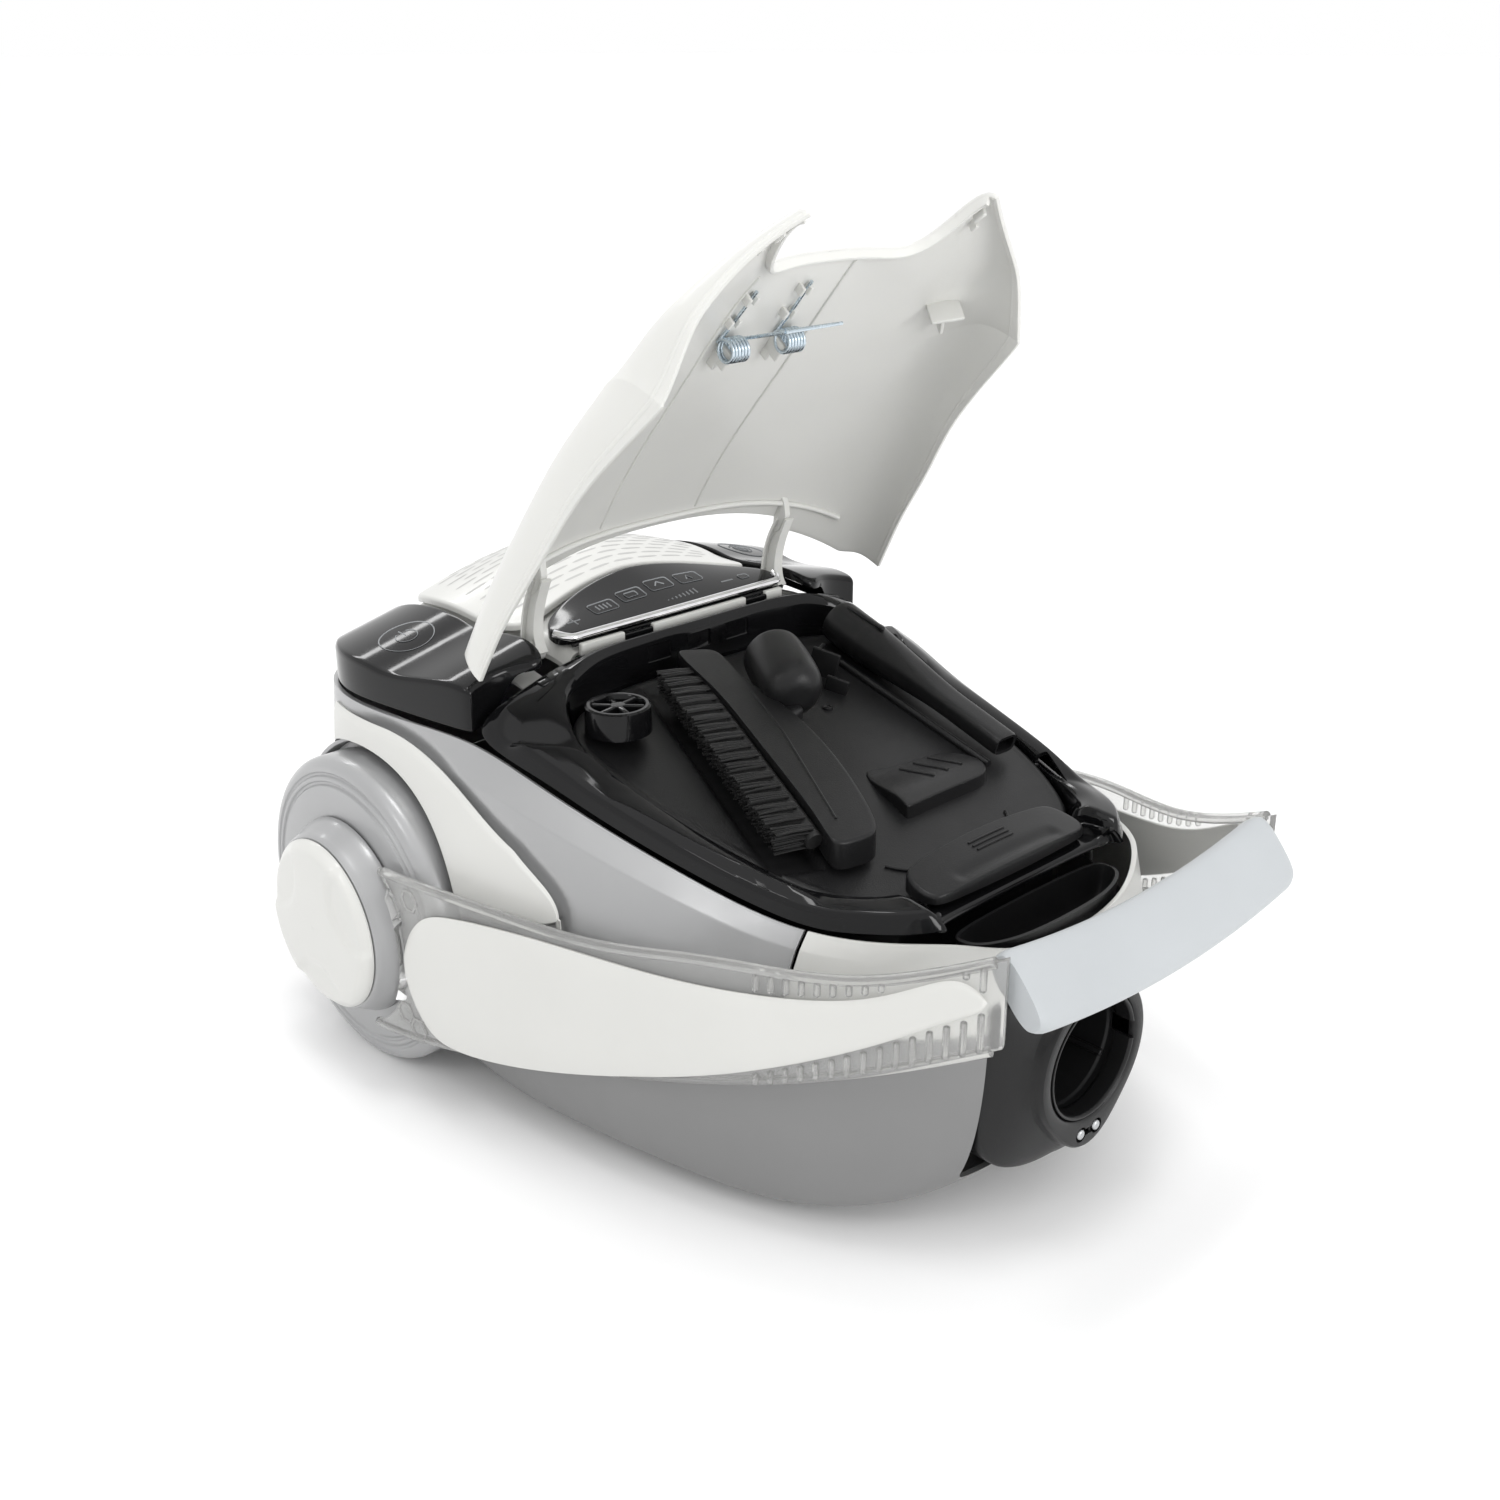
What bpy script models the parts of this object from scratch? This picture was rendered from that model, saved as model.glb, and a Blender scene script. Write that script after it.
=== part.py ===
"""Canister vacuum cleaner with its lid propped open, as an assembly of separate parts.

Metres, +Z up. The hose port faces -Y, the rear wheels' axle lies along X and the floor is z = 0.
Each part is its own object, with its origin on its joint's axis when it moves.
"""
import math

import bmesh
import bpy
from mathutils import Matrix, Vector

MM = 0.001

# ---- driving dimensions ----
GAP = 0.3 * MM                    # clearance between parts that touch
WALL = 2.4 * MM                   # moulded wall thickness
AXLE = Vector((0, 142, 80)) * MM  # rear axle and carry handle pivot
WHEEL_RADIUS = 80 * MM
WHEEL_INNER_X = 133 * MM
WHEEL_OUTER_X = 159 * MM
HUB_RADIUS = 51 * MM
CAP_RADIUS = 43.7 * MM
CAP_OUTER_X = 182 * MM
PORT = Vector((0, -194, 80)) * MM  # middle of the hose port's face
PORT_RADIUS = 28.5 * MM
COWL_START_Y = -112 * MM          # where the front cowl takes over from the upper shell
LID_PIVOT = Vector((0, 86, 214)) * MM
LID_OPEN_ANGLE = math.radians(67)
TRAY_REAR_Z = 200 * MM            # tray plane's height at TRAY_REAR_Y
TRAY_REAR_Y = 71 * MM
TRAY_SLOPE = 0.257
CASTER = Vector((0, -92, 11)) * MM
CASTER_RADIUS = 11 * MM
CORD_EXIT = Vector((62, 224, 84)) * MM

COLOURS = {
    "silver_plastic": ((0.52, 0.53, 0.55, 1), 0.35, 0.35),
    "white_plastic": ((0.83, 0.83, 0.80, 1), 0.35, 0.0),
    "black_gloss": ((0.012, 0.012, 0.013, 1), 0.12, 0.0),
    "black_satin": ((0.02, 0.02, 0.021, 1), 0.42, 0.0),
    "clear_plastic": ((0.72, 0.72, 0.70, 0.45), 0.2, 0.0),
    "grip_grey": ((0.58, 0.61, 0.63, 1), 0.5, 0.0),
    "chrome": ((0.8, 0.8, 0.8, 1), 0.08, 1.0),
    "spring_steel": ((0.6, 0.62, 0.65, 1), 0.3, 1.0),
    "bristle": ((0.01, 0.01, 0.01, 1), 0.7, 0.0),
    "rubber": ((0.03, 0.03, 0.03, 1), 0.8, 0.0),
    "filter_paper": ((0.85, 0.84, 0.78, 1), 0.9, 0.0),
    "motor_metal": ((0.45, 0.45, 0.46, 1), 0.4, 0.8),
    "board_green": ((0.03, 0.2, 0.08, 1), 0.5, 0.0),
}


# ---- scene set-up ----
def clear_scene():
    for obj in list(bpy.data.objects):
        bpy.data.objects.remove(obj, do_unlink=True)


def new_collection(name):
    collection = bpy.data.collections.new(name)
    bpy.context.scene.collection.children.link(collection)
    return collection


def make_materials():
    table = {}
    for name, (colour, roughness, metallic) in COLOURS.items():
        material = bpy.data.materials.new(name)
        material.use_nodes = True
        shader = material.node_tree.nodes["Principled BSDF"]
        shader.inputs["Base Color"].default_value = colour
        shader.inputs["Roughness"].default_value = roughness
        shader.inputs["Metallic"].default_value = metallic
        shader.inputs["Alpha"].default_value = colour[3]
        table[name] = material
    return table


clear_scene()
PARTS = new_collection("canister_vacuum")
CUTTERS = new_collection("cutters")
MATERIALS = make_materials()


# ---- small geometry helpers ----
def mm(*points):
    """Points given in millimetres, as vectors in metres."""
    return [Vector(p) * MM for p in points]


def lerp(a, b, t):
    return a + (b - a) * t


def smoothstep(low, high, value):
    t = min(1.0, max(0.0, (value - low) / (high - low)))
    return t * t * (3 - 2 * t)


def spline(points, count, mirror_ends=False):
    """Evenly numbered samples of a Catmull-Rom curve through the points."""
    first, last = 2 * points[0] - points[1], 2 * points[-1] - points[-2]
    if mirror_ends:
        first = Vector([-points[1][0]] + list(points[1][1:]))
        last = Vector([-points[-2][0]] + list(points[-2][1:]))
    chain = [first] + list(points) + [last]
    samples = []
    for i in range(count):
        place = i / (count - 1) * (len(points) - 1)
        k = min(int(place), len(points) - 2)
        t = place - k
        a, b, c, d = chain[k:k + 4]
        samples.append(0.5 * (2 * b + (c - a) * t + (2 * a - 5 * b + 4 * c - d) * t * t
                              + (3 * b - a - 3 * c + d) * t ** 3))
    return samples


def curve_at(points, y, axis=0):
    """Value of one coordinate where a polyline sorted along Y passes y."""
    for a, b in zip(points, points[1:]):
        if min(a[1], b[1]) <= y <= max(a[1], b[1]) and a[1] != b[1]:
            return lerp(a[axis], b[axis], (y - a[1]) / (b[1] - a[1]))
    nearest = min(points, key=lambda p: abs(p[1] - y))
    return nearest[axis]


# ---- object helpers ----
def place(obj, material, collection=None, origin=None):
    (collection or PARTS).objects.link(obj)
    if material:
        obj.data.materials.append(MATERIALS[material])
    if origin is not None:
        obj.data.transform(Matrix.Translation(-Vector(origin)))
        obj.location = origin
    return obj


def smooth(obj, degrees=35):
    obj.data.shade_smooth()
    obj.data.set_sharp_from_angle(angle=math.radians(degrees))
    return obj


def from_bmesh(bm, name, material, origin=None, collection=None):
    mesh = bpy.data.meshes.new(name)
    bm.to_mesh(mesh)
    bm.free()
    return smooth(place(bpy.data.objects.new(name, mesh), material, collection, origin))


def face_away(bm, centre):
    """Turn an open sheet so that its faces look away from a point inside it."""
    bmesh.ops.recalc_face_normals(bm, faces=bm.faces)
    bm.normal_update()
    score = sum((f.calc_center_median() - centre).dot(f.normal) * f.calc_area() for f in bm.faces)
    if score < 0:
        bmesh.ops.reverse_faces(bm, faces=bm.faces)


def sheet(name, rows, material, centre, wall=WALL, mirror=False, closed=False, origin=None,
          even=True):
    """A moulded shell: a grid of points, mirrored if asked, thickened inwards."""
    bm = bmesh.new()
    grid = [[bm.verts.new(p) for p in row] for row in rows]
    for row_a, row_b in zip(grid, grid[1:]):
        pairs = list(zip(row_a, row_a[1:], row_b, row_b[1:]))
        if closed:
            pairs.append((row_a[-1], row_a[0], row_b[-1], row_b[0]))
        for a, b, c, d in pairs:
            bm.faces.new((a, b, d, c))
    bmesh.ops.remove_doubles(bm, verts=bm.verts, dist=0.05 * MM)
    bmesh.ops.dissolve_degenerate(bm, edges=bm.edges, dist=0.02 * MM)
    face_away(bm, centre)
    obj = from_bmesh(bm, name, material, origin)
    if mirror:
        half = obj.modifiers.new("mirror", "MIRROR")
        half.use_clip = True
        half.merge_threshold = 0.05 * MM
    thick = obj.modifiers.new("wall", "SOLIDIFY")
    thick.thickness = wall
    thick.offset = -1
    thick.use_even_offset = even
    return obj


def rounded_cap(name, outline, top, skirt, material, wall=WALL, edge=2.5 * MM, origin=None,
                 steps=(0.55,)):
    """A shallow cap: rings from the skirt up over a rounded edge to the middle of the top."""
    middle = sum(outline, Vector((0, 0))) / len(outline)
    size = max((p - middle).length for p in outline)

    def ring(scale, height):
        spots = [middle + (p - middle) * scale for p in outline]
        return [Vector((p[0], p[1], height(p[0], p[1]))) for p in spots]

    rows = [ring(1.0, skirt), ring(1.0, lambda x, y: top(x, y) - edge),
            ring(1.0 - 0.3 * edge / size, lambda x, y: top(x, y) - 0.3 * edge),
            ring(1.0 - edge / size, top)]
    rows += [ring(scale, top) for scale in steps]
    rows.append(ring(0.0, top))
    centre = Vector((middle[0], middle[1], top(*middle) - 60 * MM))
    return sheet(name, rows, material, centre, wall, closed=True, origin=origin, even=False)


def box(name, size, location, material, bevel=0.0, tilt=None, collection=None, segments=2):
    bm = bmesh.new()
    bmesh.ops.create_cube(bm, size=1)
    bmesh.ops.scale(bm, vec=Vector(size), verts=bm.verts)
    obj = from_bmesh(bm, name, material, collection=collection)
    obj.location = location
    if tilt:
        obj.rotation_euler = tilt
    if bevel:
        rounded = obj.modifiers.new("rounded", "BEVEL")
        rounded.width = bevel
        rounded.segments = segments
    return obj


def rod(name, radius, length, location, axis, material, segments=24, radius_end=None,
        collection=None, origin=None):
    """A cylinder or cone along the axis, centred on the location."""
    bm = bmesh.new()
    bmesh.ops.create_cone(bm, cap_ends=True, segments=segments, radius1=radius,
                          radius2=radius if radius_end is None else radius_end, depth=length)
    turn = Vector((0, 0, 1)).rotation_difference(Vector(axis)).to_matrix().to_4x4()
    bmesh.ops.transform(bm, matrix=Matrix.Translation(location) @ turn, verts=bm.verts)
    return from_bmesh(bm, name, material, origin, collection)


def turned(name, profile, location, axis, material, steps=28):
    """A lathe-turned part: (radius, height) points down the outside, about an axis."""
    bm = bmesh.new()
    chain = [bm.verts.new((r, 0, h)) for r, h in profile]
    for a, b in zip(chain, chain[1:]):
        bm.edges.new((a, b))
    bm.edges.new((chain[-1], chain[0]))
    mesh = bpy.data.meshes.new(name)
    bm.to_mesh(mesh)
    bm.free()
    obj = place(bpy.data.objects.new(name, mesh), material)
    obj.location = location
    obj.rotation_euler = Vector((0, 0, 1)).rotation_difference(Vector(axis)).to_euler()
    spin = obj.modifiers.new("turn", "SCREW")
    spin.steps = spin.render_steps = steps
    spin.use_merge_vertices = True
    spin.merge_threshold = 0.01 * MM
    spin.use_smooth_shade = True
    return obj


def wire(name, points, radius, material, resolution=2, cyclic=False):
    curve = bpy.data.curves.new(name, "CURVE")
    curve.dimensions = "3D"
    curve.bevel_depth = radius
    curve.bevel_resolution = resolution
    curve.use_fill_caps = not cyclic
    strand = curve.splines.new("POLY")
    strand.points.add(len(points) - 1)
    for slot, point in zip(strand.points, points):
        slot.co = (*point, 1)
    strand.use_cyclic_u = cyclic
    obj = bpy.data.objects.new(name, curve)
    PARTS.objects.link(obj)
    curve.materials.append(MATERIALS[material])
    return obj


def boolean(obj, other, operation="DIFFERENCE"):
    cut = obj.modifiers.new(operation.lower(), "BOOLEAN")
    cut.operation = operation
    cut.object = other
    other.hide_render = True
    other.display_type = "WIRE"
    return obj


def cutter_box(name, size, location, bevel=0.0):
    return box(name, size, location, None, bevel, collection=CUTTERS)


def cutter_rod(name, radius, length, location, axis, segments=40, radius_end=None):
    return rod(name, radius, length, location, axis, None, segments, radius_end, CUTTERS)


SIDES = (("left", -1), ("right", 1))

# ---- body form: three outlines from the front middle round the +X side to the rear middle ----
PAN = mm((0, -152, 22), (40, -150, 20), (72, -142, 17), (94, -122, 14), (108, -90, 11),
         (118, -50, 11), (126, -8, 11), (131, 42, 11), (130, 92, 16), (124, 142, 22),
         (110, 180, 28), (86, 206, 34), (46, 220, 38), (0, 224, 40))
BELT = mm((0, -187, 108), (38, -183, 108), (70, -168, 108), (94, -142, 108), (112, -108, 108),
          (130, -58, 108), (140, -8, 108), (146.5, 42, 108), (149, 92, 108), (148, 142, 108),
          (140, 180, 108), (118, 208, 108), (66, 226, 108), (0, 231, 108))
SEAM = mm((0, -180, 138), (36, -177, 141), (60, -167, 147), (80, -148, 148), (99, -110, 148),
          (112, -60, 157), (120.5, -10, 168), (127, 32, 179), (131, 74, 186), (138, 124, 186),
          (138, 168, 186), (118, 204, 186), (66, 225, 186), (0, 230, 186))
STATIONS = 28


def body_point(t_index, height):
    """Point on the body's side: height 0 at the pan, 1 at the belt and 2 at the top seam."""
    pan, belt, seam = PAN_LINE[t_index], BELT_LINE[t_index], SEAM_LINE[t_index]
    if height <= 1:
        angle = height * math.pi / 2
        across, up = math.sin(angle) ** 0.8, 1 - math.cos(angle) ** 0.9
        return Vector((lerp(pan.x, belt.x, across), lerp(pan.y, belt.y, across),
                       lerp(pan.z, belt.z, up)))
    rise = height - 1
    lean = rise ** 1.5
    return Vector((lerp(belt.x, seam.x, lean), lerp(belt.y, seam.y, lean),
                   lerp(belt.z, seam.z, rise)))


PAN_LINE = spline(PAN, STATIONS, mirror_ends=True)
BELT_LINE = spline(BELT, STATIONS, mirror_ends=True)
SEAM_LINE = spline(SEAM, STATIONS, mirror_ends=True)
BODY_CENTRE = Vector((0, 30, 110)) * MM


def seam_z(y):
    return curve_at(SEAM_LINE, y, 2)


def seam_x(y):
    return curve_at(SEAM_LINE, y, 0)


def tray_z(y):
    return TRAY_REAR_Z - TRAY_SLOPE * (TRAY_REAR_Y - y)


TOP_SPINE = mm((0, 58, 216), (0, 71, 220), (0, 108, 232), (0, 145, 240), (0, 180, 237),
               (0, 206, 225), (0, 226, 203))
TOP_LINE = spline(TOP_SPINE, 40)


def rear_top(x, y):
    """Height of the rear top: nearly flat at the display, crowned over the filter."""
    crown = 20 * MM * smoothstep(70 * MM, 135 * MM, y)
    shoulder = 82 * MM
    return (curve_at(TOP_LINE, y, 2) - crown * 0.9 * (min(abs(x), shoulder) / (80 * MM)) ** 1.6
            - max(0.0, abs(x) - shoulder) * 0.24)


# ---- casings ----
def lower_shell():
    rows = [[Vector((0, body_point(i, 0).y, body_point(i, 0).z)) for i in range(STATIONS)]]
    for height in (0, 0.22, 0.48, 0.74, 1.0):
        rows.append([body_point(i, height) for i in range(STATIONS)])
    rows[-1] = [p - Vector((0, 0, GAP)) for p in rows[-1]]
    shell = sheet("lower_shell", rows, "silver_plastic", BODY_CENTRE, mirror=True)
    boolean(shell, cutter_box("bezel_opening", Vector((108, 90, 114)) * MM,
                              Vector((0, -178, 85.5)) * MM, 5 * MM))
    boolean(shell, cutter_rod("cord_opening", 9.6 * MM, 30 * MM, CORD_EXIT, (0, 1, 0), 24))
    boolean(shell, cutter_rod("caster_opening", 22 * MM, 60 * MM, CASTER + Vector((0, 0, 15 * MM)),
                              (0, 0, 1)))
    for side, _ in SIDES:
        boolean(shell, WHEEL_CUTTERS[side])
    return shell


def band(first, last, low, high, steps):
    """Rows of points on the body's side between two stations and two heights."""
    return [[body_point(i, lerp(low, high, k / steps)) for i in range(first, last + 1)]
            for k in range(steps + 1)]


def upper_shell():
    start = next(i for i in range(STATIONS) if BELT_LINE[i].y > COWL_START_Y)
    rows = band(start, STATIONS - 1, 1.0, 1.985, 3)
    rows[0] = [p + Vector((0, 0, GAP)) for p in rows[0]]
    shell = sheet("upper_shell", rows, "silver_plastic", BODY_CENTRE, mirror=True)
    for side, _ in SIDES:
        boolean(shell, WHEEL_CUTTERS[side])
    return shell


def front_cowl():
    end = next(i for i in range(STATIONS) if BELT_LINE[i].y > COWL_START_Y)
    rows = band(0, end, 1.0, 1.985, 3)
    rows[0] = [p + Vector((0, 0, GAP)) for p in rows[0]]
    for row in rows:
        row[-1] = lerp(row[-1], row[-2], 0.08)
    cowl = sheet("front_cowl", rows, "white_plastic", BODY_CENTRE, mirror=True)
    return boolean(cowl, cutter_box("bezel_top_opening", Vector((108, 90, 70)) * MM,
                                    Vector((0, -178, 86)) * MM, 5 * MM))


def side_inset(side, sign):
    """White panel let into the upper shell above the wheel, standing a little proud of it."""
    picks = [i for i in range(STATIONS) if -2 * MM < BELT_LINE[i].y < 178 * MM]
    rows = []
    for k in range(6):
        row = []
        for i in picks:
            y = BELT_LINE[i].y
            nose = math.sqrt(max(0.02, min(1.0, (y + 4 * MM) / (34 * MM))))
            top = 1 + lerp(0.52, 0.90, smoothstep(10 * MM, 130 * MM, y)) * nose ** 0.4
            low = lerp(1.30, 1.06, nose)
            point = body_point(i, lerp(low, top, k / 5))
            out = Vector((1, 0, 0.25)).normalized() * 2.3 * MM
            point = point + out
            row.append(Vector((point.x * sign, point.y, point.z)))
        rows.append(row)
    panel = sheet(f"side_inset_{side}", rows, "white_plastic", BODY_CENTRE, wall=1.3 * MM)
    return boolean(panel, WHEEL_CUTTERS[side])


def wheel_well(side, sign):
    """Cup behind the wheel, closing the round opening in the shells."""
    middle = Vector((sign * 131 * MM, AXLE.y, AXLE.z))
    cup = rod(f"wheel_well_{side}", WHEEL_RADIUS + 5.2 * MM, 10 * MM, middle, (1, 0, 0),
              "silver_plastic", 40)
    inside = middle + Vector((sign * 2 * MM, 0, 0))
    boolean(cup, cutter_rod(f"well_hollow_{side}", WHEEL_RADIUS + 3 * MM, 10 * MM, inside,
                            (1, 0, 0), 40))
    boolean(cup, cutter_rod(f"well_axle_hole_{side}", 6.4 * MM, 40 * MM, middle, (1, 0, 0), 24))
    return boolean(cup, cutter_box(f"well_floor_{side}", (60 * MM, 240 * MM, 60 * MM),
                                   Vector((sign * 130, 142, -5)) * MM))


# outer edge of the deck frame, paired point by point with the edge of the tray opening
DECK_OUTER = mm((0, 64, 213), (45, 64, 213), (70, 64, 212), (92, 67, 207), (116, 68, 199),
                (127.5, 63, 188), (125, 26, 179), (119, -10, 169), (110.5, -60, 158),
                (98, -108, 149), (86, -134, 149), (73, -150, 150), (60, -158, 150),
                (56, -152, 148), (0, -149, 147))
DECK_INNER = mm((0, 57, 210), (45, 57, 210), (72, 53, 208), (90, 46, 205), (100, 35, 200),
                (104, 20, 190), (104.5, 3, 184), (103, -19, 178), (98, -55, 169),
                (90, -88, 161), (79, -112, 154), (69, -124, 151), (58, -131, 150),
                (45, -135.5, 149), (0, -137, 149))
TRAY_CLEARANCE = 1.4 * MM


def deck_frame():
    """Black rim round the tray: outer lip, sloping top and an inner wall down past the tray."""
    count = 26
    outer, inner = spline(DECK_OUTER, count), spline(DECK_INNER, count)
    rows = [[], [], [], [], []]
    for a, b in zip(outer, inner):
        b = Vector((b.x, b.y, max(b.z, tray_z(b.y) + 0.8 * MM)))
        lip = lerp(a, b, 0.12)
        lip.z = a.z + 8 * MM
        shoulder = lerp(a, b, 0.3)
        shoulder.z = max(a.z + 10 * MM, b.z + 1 * MM)
        if a.y > 50 * MM:
            lip.z, shoulder.z = a.z + 3 * MM, max(a.z + 3 * MM, b.z + 1 * MM)
        if abs(a.x) < 60 * MM and a.y < 0:
            lip.z, shoulder.z = a.z + 1.5 * MM, a.z + 2 * MM
        rows[0].append(a)
        rows[1].append(lip)
        rows[2].append(shoulder)
        rows[3].append(b)
        rows[4].append(Vector((b.x, b.y, tray_z(b.y) - 9 * MM)))
    return sheet("deck_frame", rows, "black_gloss", Vector((0, -30, 100)) * MM, wall=1.8 * MM,
                 mirror=True)


def rear_cover():
    """White tray under the display, pedals and grille, with openings for filter and lid arms."""
    rows = []
    count = 10
    for k in range(count + 1):
        y = lerp(70 * MM, 224 * MM, k / count)
        reach = lerp(98 * MM, 83 * MM, smoothstep(165 * MM, 182 * MM, y))
        row = []
        for j in range(9):
            x = reach * j / 8
            drop = lerp(6 * MM, 10 * MM, smoothstep(68 * MM, 76 * MM, x))
            height = max(rear_top(x, y) - drop, 188 * MM) if k < count else 188 * MM
            row.append(Vector((x, y, height)))
        rows.append(row)
    cover = sheet("rear_cover", rows, "white_plastic", Vector((0, 150, 100)) * MM, wall=1.8 * MM,
                  mirror=True)
    for side, sign in SIDES:
        boolean(cover, cutter_box(f"arm_slot_{side}", Vector((13, 32, 60)) * MM,
                                  Vector((sign * 80, 81, 214)) * MM))
    return boolean(cover, cutter_box("filter_opening", (128 * MM, 66 * MM, 90 * MM),
                                     Vector((0, 165, 225)) * MM))


def outline_2d(points, count):
    """A closed outline from its +X half, front middle to rear middle, mirrored to -X."""
    half = [Vector((p[0], p[1])) for p in spline(points, count, mirror_ends=True)]
    other = [Vector((-p[0], p[1])) for p in reversed(half[1:-1])]
    return half + other


def solid_cap(name, outline, top, bottom, material, edge):
    """A solid pad: flat or shaped underside, upright sides and a top with a small chamfer."""
    middle = sum(outline, Vector((0, 0))) / len(outline)
    size = max((p - middle).length for p in outline)
    bm = bmesh.new()
    rings = []
    for scale, height in ((1.0, bottom), (1.0, lambda x, y: top(x, y) - edge),
                          (1.0 - edge / size, top)):
        spots = [middle + (p - middle) * scale for p in outline]
        rings.append([bm.verts.new((p[0], p[1], height(p[0], p[1]))) for p in spots])
    low = bm.verts.new((middle[0], middle[1], bottom(*middle)))
    high = bm.verts.new((middle[0], middle[1], top(*middle)))
    count = len(outline)
    for k in range(count):
        n = (k + 1) % count
        bm.faces.new((low, rings[0][n], rings[0][k]))
        bm.faces.new((high, rings[-1][k], rings[-1][n]))
        for a, b in zip(rings, rings[1:]):
            bm.faces.new((a[k], a[n], b[n]))
            bm.faces.new((a[k], b[n], b[k]))
    bmesh.ops.recalc_face_normals(bm, faces=bm.faces)
    return from_bmesh(bm, name, material)


def display_panel():
    edge = mm((0, 74, 0), (40, 74, 0), (66, 75, 0), (73, 80, 0), (66, 93, 0), (40, 106, 0),
              (0, 111, 0))
    return solid_cap("display_panel", outline_2d(edge, 13), lambda x, y: rear_top(x, y) + 1 * MM,
                     lambda x, y: rear_top(x, y) - 4.5 * MM, "black_gloss", 1.2 * MM)


def chrome_trim():
    path = [Vector((x * MM, 71.3 * MM, rear_top(0, 71 * MM) + 1.2 * MM)) for x in
            (-72, -60, -40, -20, 0, 20, 40, 60, 72)]
    return wire("chrome_trim", path, 1.9 * MM, "chrome")


def ledge_strip():
    return box("ledge_strip", Vector((136, 3.0, 7)) * MM, Vector((0, 67.6, 215.5)) * MM,
               "white_plastic", 0.8 * MM)


def exhaust_grille():
    edge = mm((0, 115, 0), (42, 111, 0), (68, 104, 0), (78, 112, 0), (81, 150, 0), (76, 190, 0),
              (58, 209, 0), (30, 216, 0), (0, 218, 0))
    grille = rounded_cap("exhaust_grille", outline_2d(edge, 12), rear_top,
                          lambda x, y: rear_top(x, y) - 3.6 * MM, "white_plastic",
                          wall=2 * MM, edge=1.6 * MM, steps=(0.6,))
    for k in range(5):
        y = (132 + 14.5 * k) * MM
        boolean(grille, cutter_box(f"grille_slot_{k}", Vector((96, 3, 60)) * MM,
                                   Vector((0, y, 0.225))))
    return grille


def rear_pedal(side, sign):
    """Foot pedal over a rear corner of the body, with a skirt down to the upper shell."""
    edge = mm((87, 73, 0), (104, 72, 0), (124, 73, 0), (131, 80, 0), (138.5, 128, 0),
              (138, 168, 0), (120, 199, 0), (100, 211, 0), (89.5, 205, 0), (87, 182, 0),
              (86.5, 130, 0))
    outline = [Vector((p[0] * sign, p[1])) for p in spline(edge + [edge[0]], 30)[:-1]]
    inner = 100 * MM

    def skirt(x, y):
        outer = smoothstep(inner, 118 * MM, abs(x) + max(0.0, y - 172 * MM))
        return lerp(rear_top(x, y) - 5 * MM, 189.5 * MM, outer)

    name = "power_pedal" if side == "left" else "rewind_pedal"
    return rounded_cap(name, outline, lambda x, y: rear_top(x, y) + 0.5 * MM, skirt, "black_gloss",
                        wall=2 * MM, edge=3 * MM)


# ---- front ----
def hose_bezel():
    """Flared front bezel: from a wide rounded frame on the body out to a round collar."""
    half_width, above, below, squareness, count = 53 * MM, 39.5 * MM, 50 * MM, 4, 28
    rows = [[], [], [], [], [], []]
    for k in range(count):
        angle = 2 * math.pi * k / count
        rim = Vector((math.cos(angle), 0, math.sin(angle)))
        reach_up = above if rim.z > 0 else below
        reach = (abs(rim.x / half_width) ** squareness
                 + abs(rim.z / reach_up) ** squareness) ** (-1 / squareness)
        frame = Vector((0, 0, PORT.z)) + rim * reach
        bow = 9 * MM * (abs(frame.x) / half_width) ** 2
        lug = 8 * MM * max(0.0, -rim.z) ** 8
        collar = Vector((0, 0, PORT.z)) + rim * (37 * MM + lug)
        flare = lerp(frame, collar, 0.6)
        rows[0].append(frame + Vector((0, -164 * MM, 0)))
        rows[1].append(frame + Vector((0, -183 * MM + bow, 0)))
        rows[2].append(flare + Vector((0, -186.5 * MM + 0.3 * bow, 0)))
        rows[3].append(collar + Vector((0, PORT.y + 3.5 * MM, 0)))
        rows[4].append(collar - rim * 1.2 * MM + Vector((0, PORT.y, 0)))
        rows[5].append(PORT + rim * (PORT_RADIUS + 1.2 * MM))
    bezel = sheet("hose_bezel", rows, "black_satin", Vector((0, -120, 80)) * MM, wall=2.0 * MM,
                  closed=True, even=False)
    for side, sign in SIDES:
        boolean(bezel, cutter_rod(f"contact_hole_{side}", 2.9 * MM, 20 * MM, contact_spot(sign),
                                  (0, 1, 0), 16))
    return bezel


def port_sleeve():
    """Inner tube that the hose end plugs into, with a step for its seal."""
    depth = 62 * MM
    profile = [(PORT_RADIUS + 0.5 * MM, 0), (PORT_RADIUS + 0.5 * MM, -depth),
               (PORT_RADIUS - 4.5 * MM, -depth), (PORT_RADIUS - 4.5 * MM, -depth + 26 * MM),
               (PORT_RADIUS - 1.0 * MM, -depth + 26 * MM), (PORT_RADIUS - 1.0 * MM, 0)]
    return turned("port_sleeve", profile, PORT, (0, -1, 0), "black_satin", 28)


def contact_spot(sign):
    return Vector((sign * 5.5 * MM, PORT.y + 1.0 * MM, PORT.z - 37.0 * MM))


def contact_pin(side, sign):
    """One of the two powered-brush contacts in the bezel's lower lug."""
    return rod(f"contact_pin_{side}", 2.5 * MM, 3.0 * MM, contact_spot(sign), (0, 1, 0),
               "spring_steel", 16)


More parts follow.
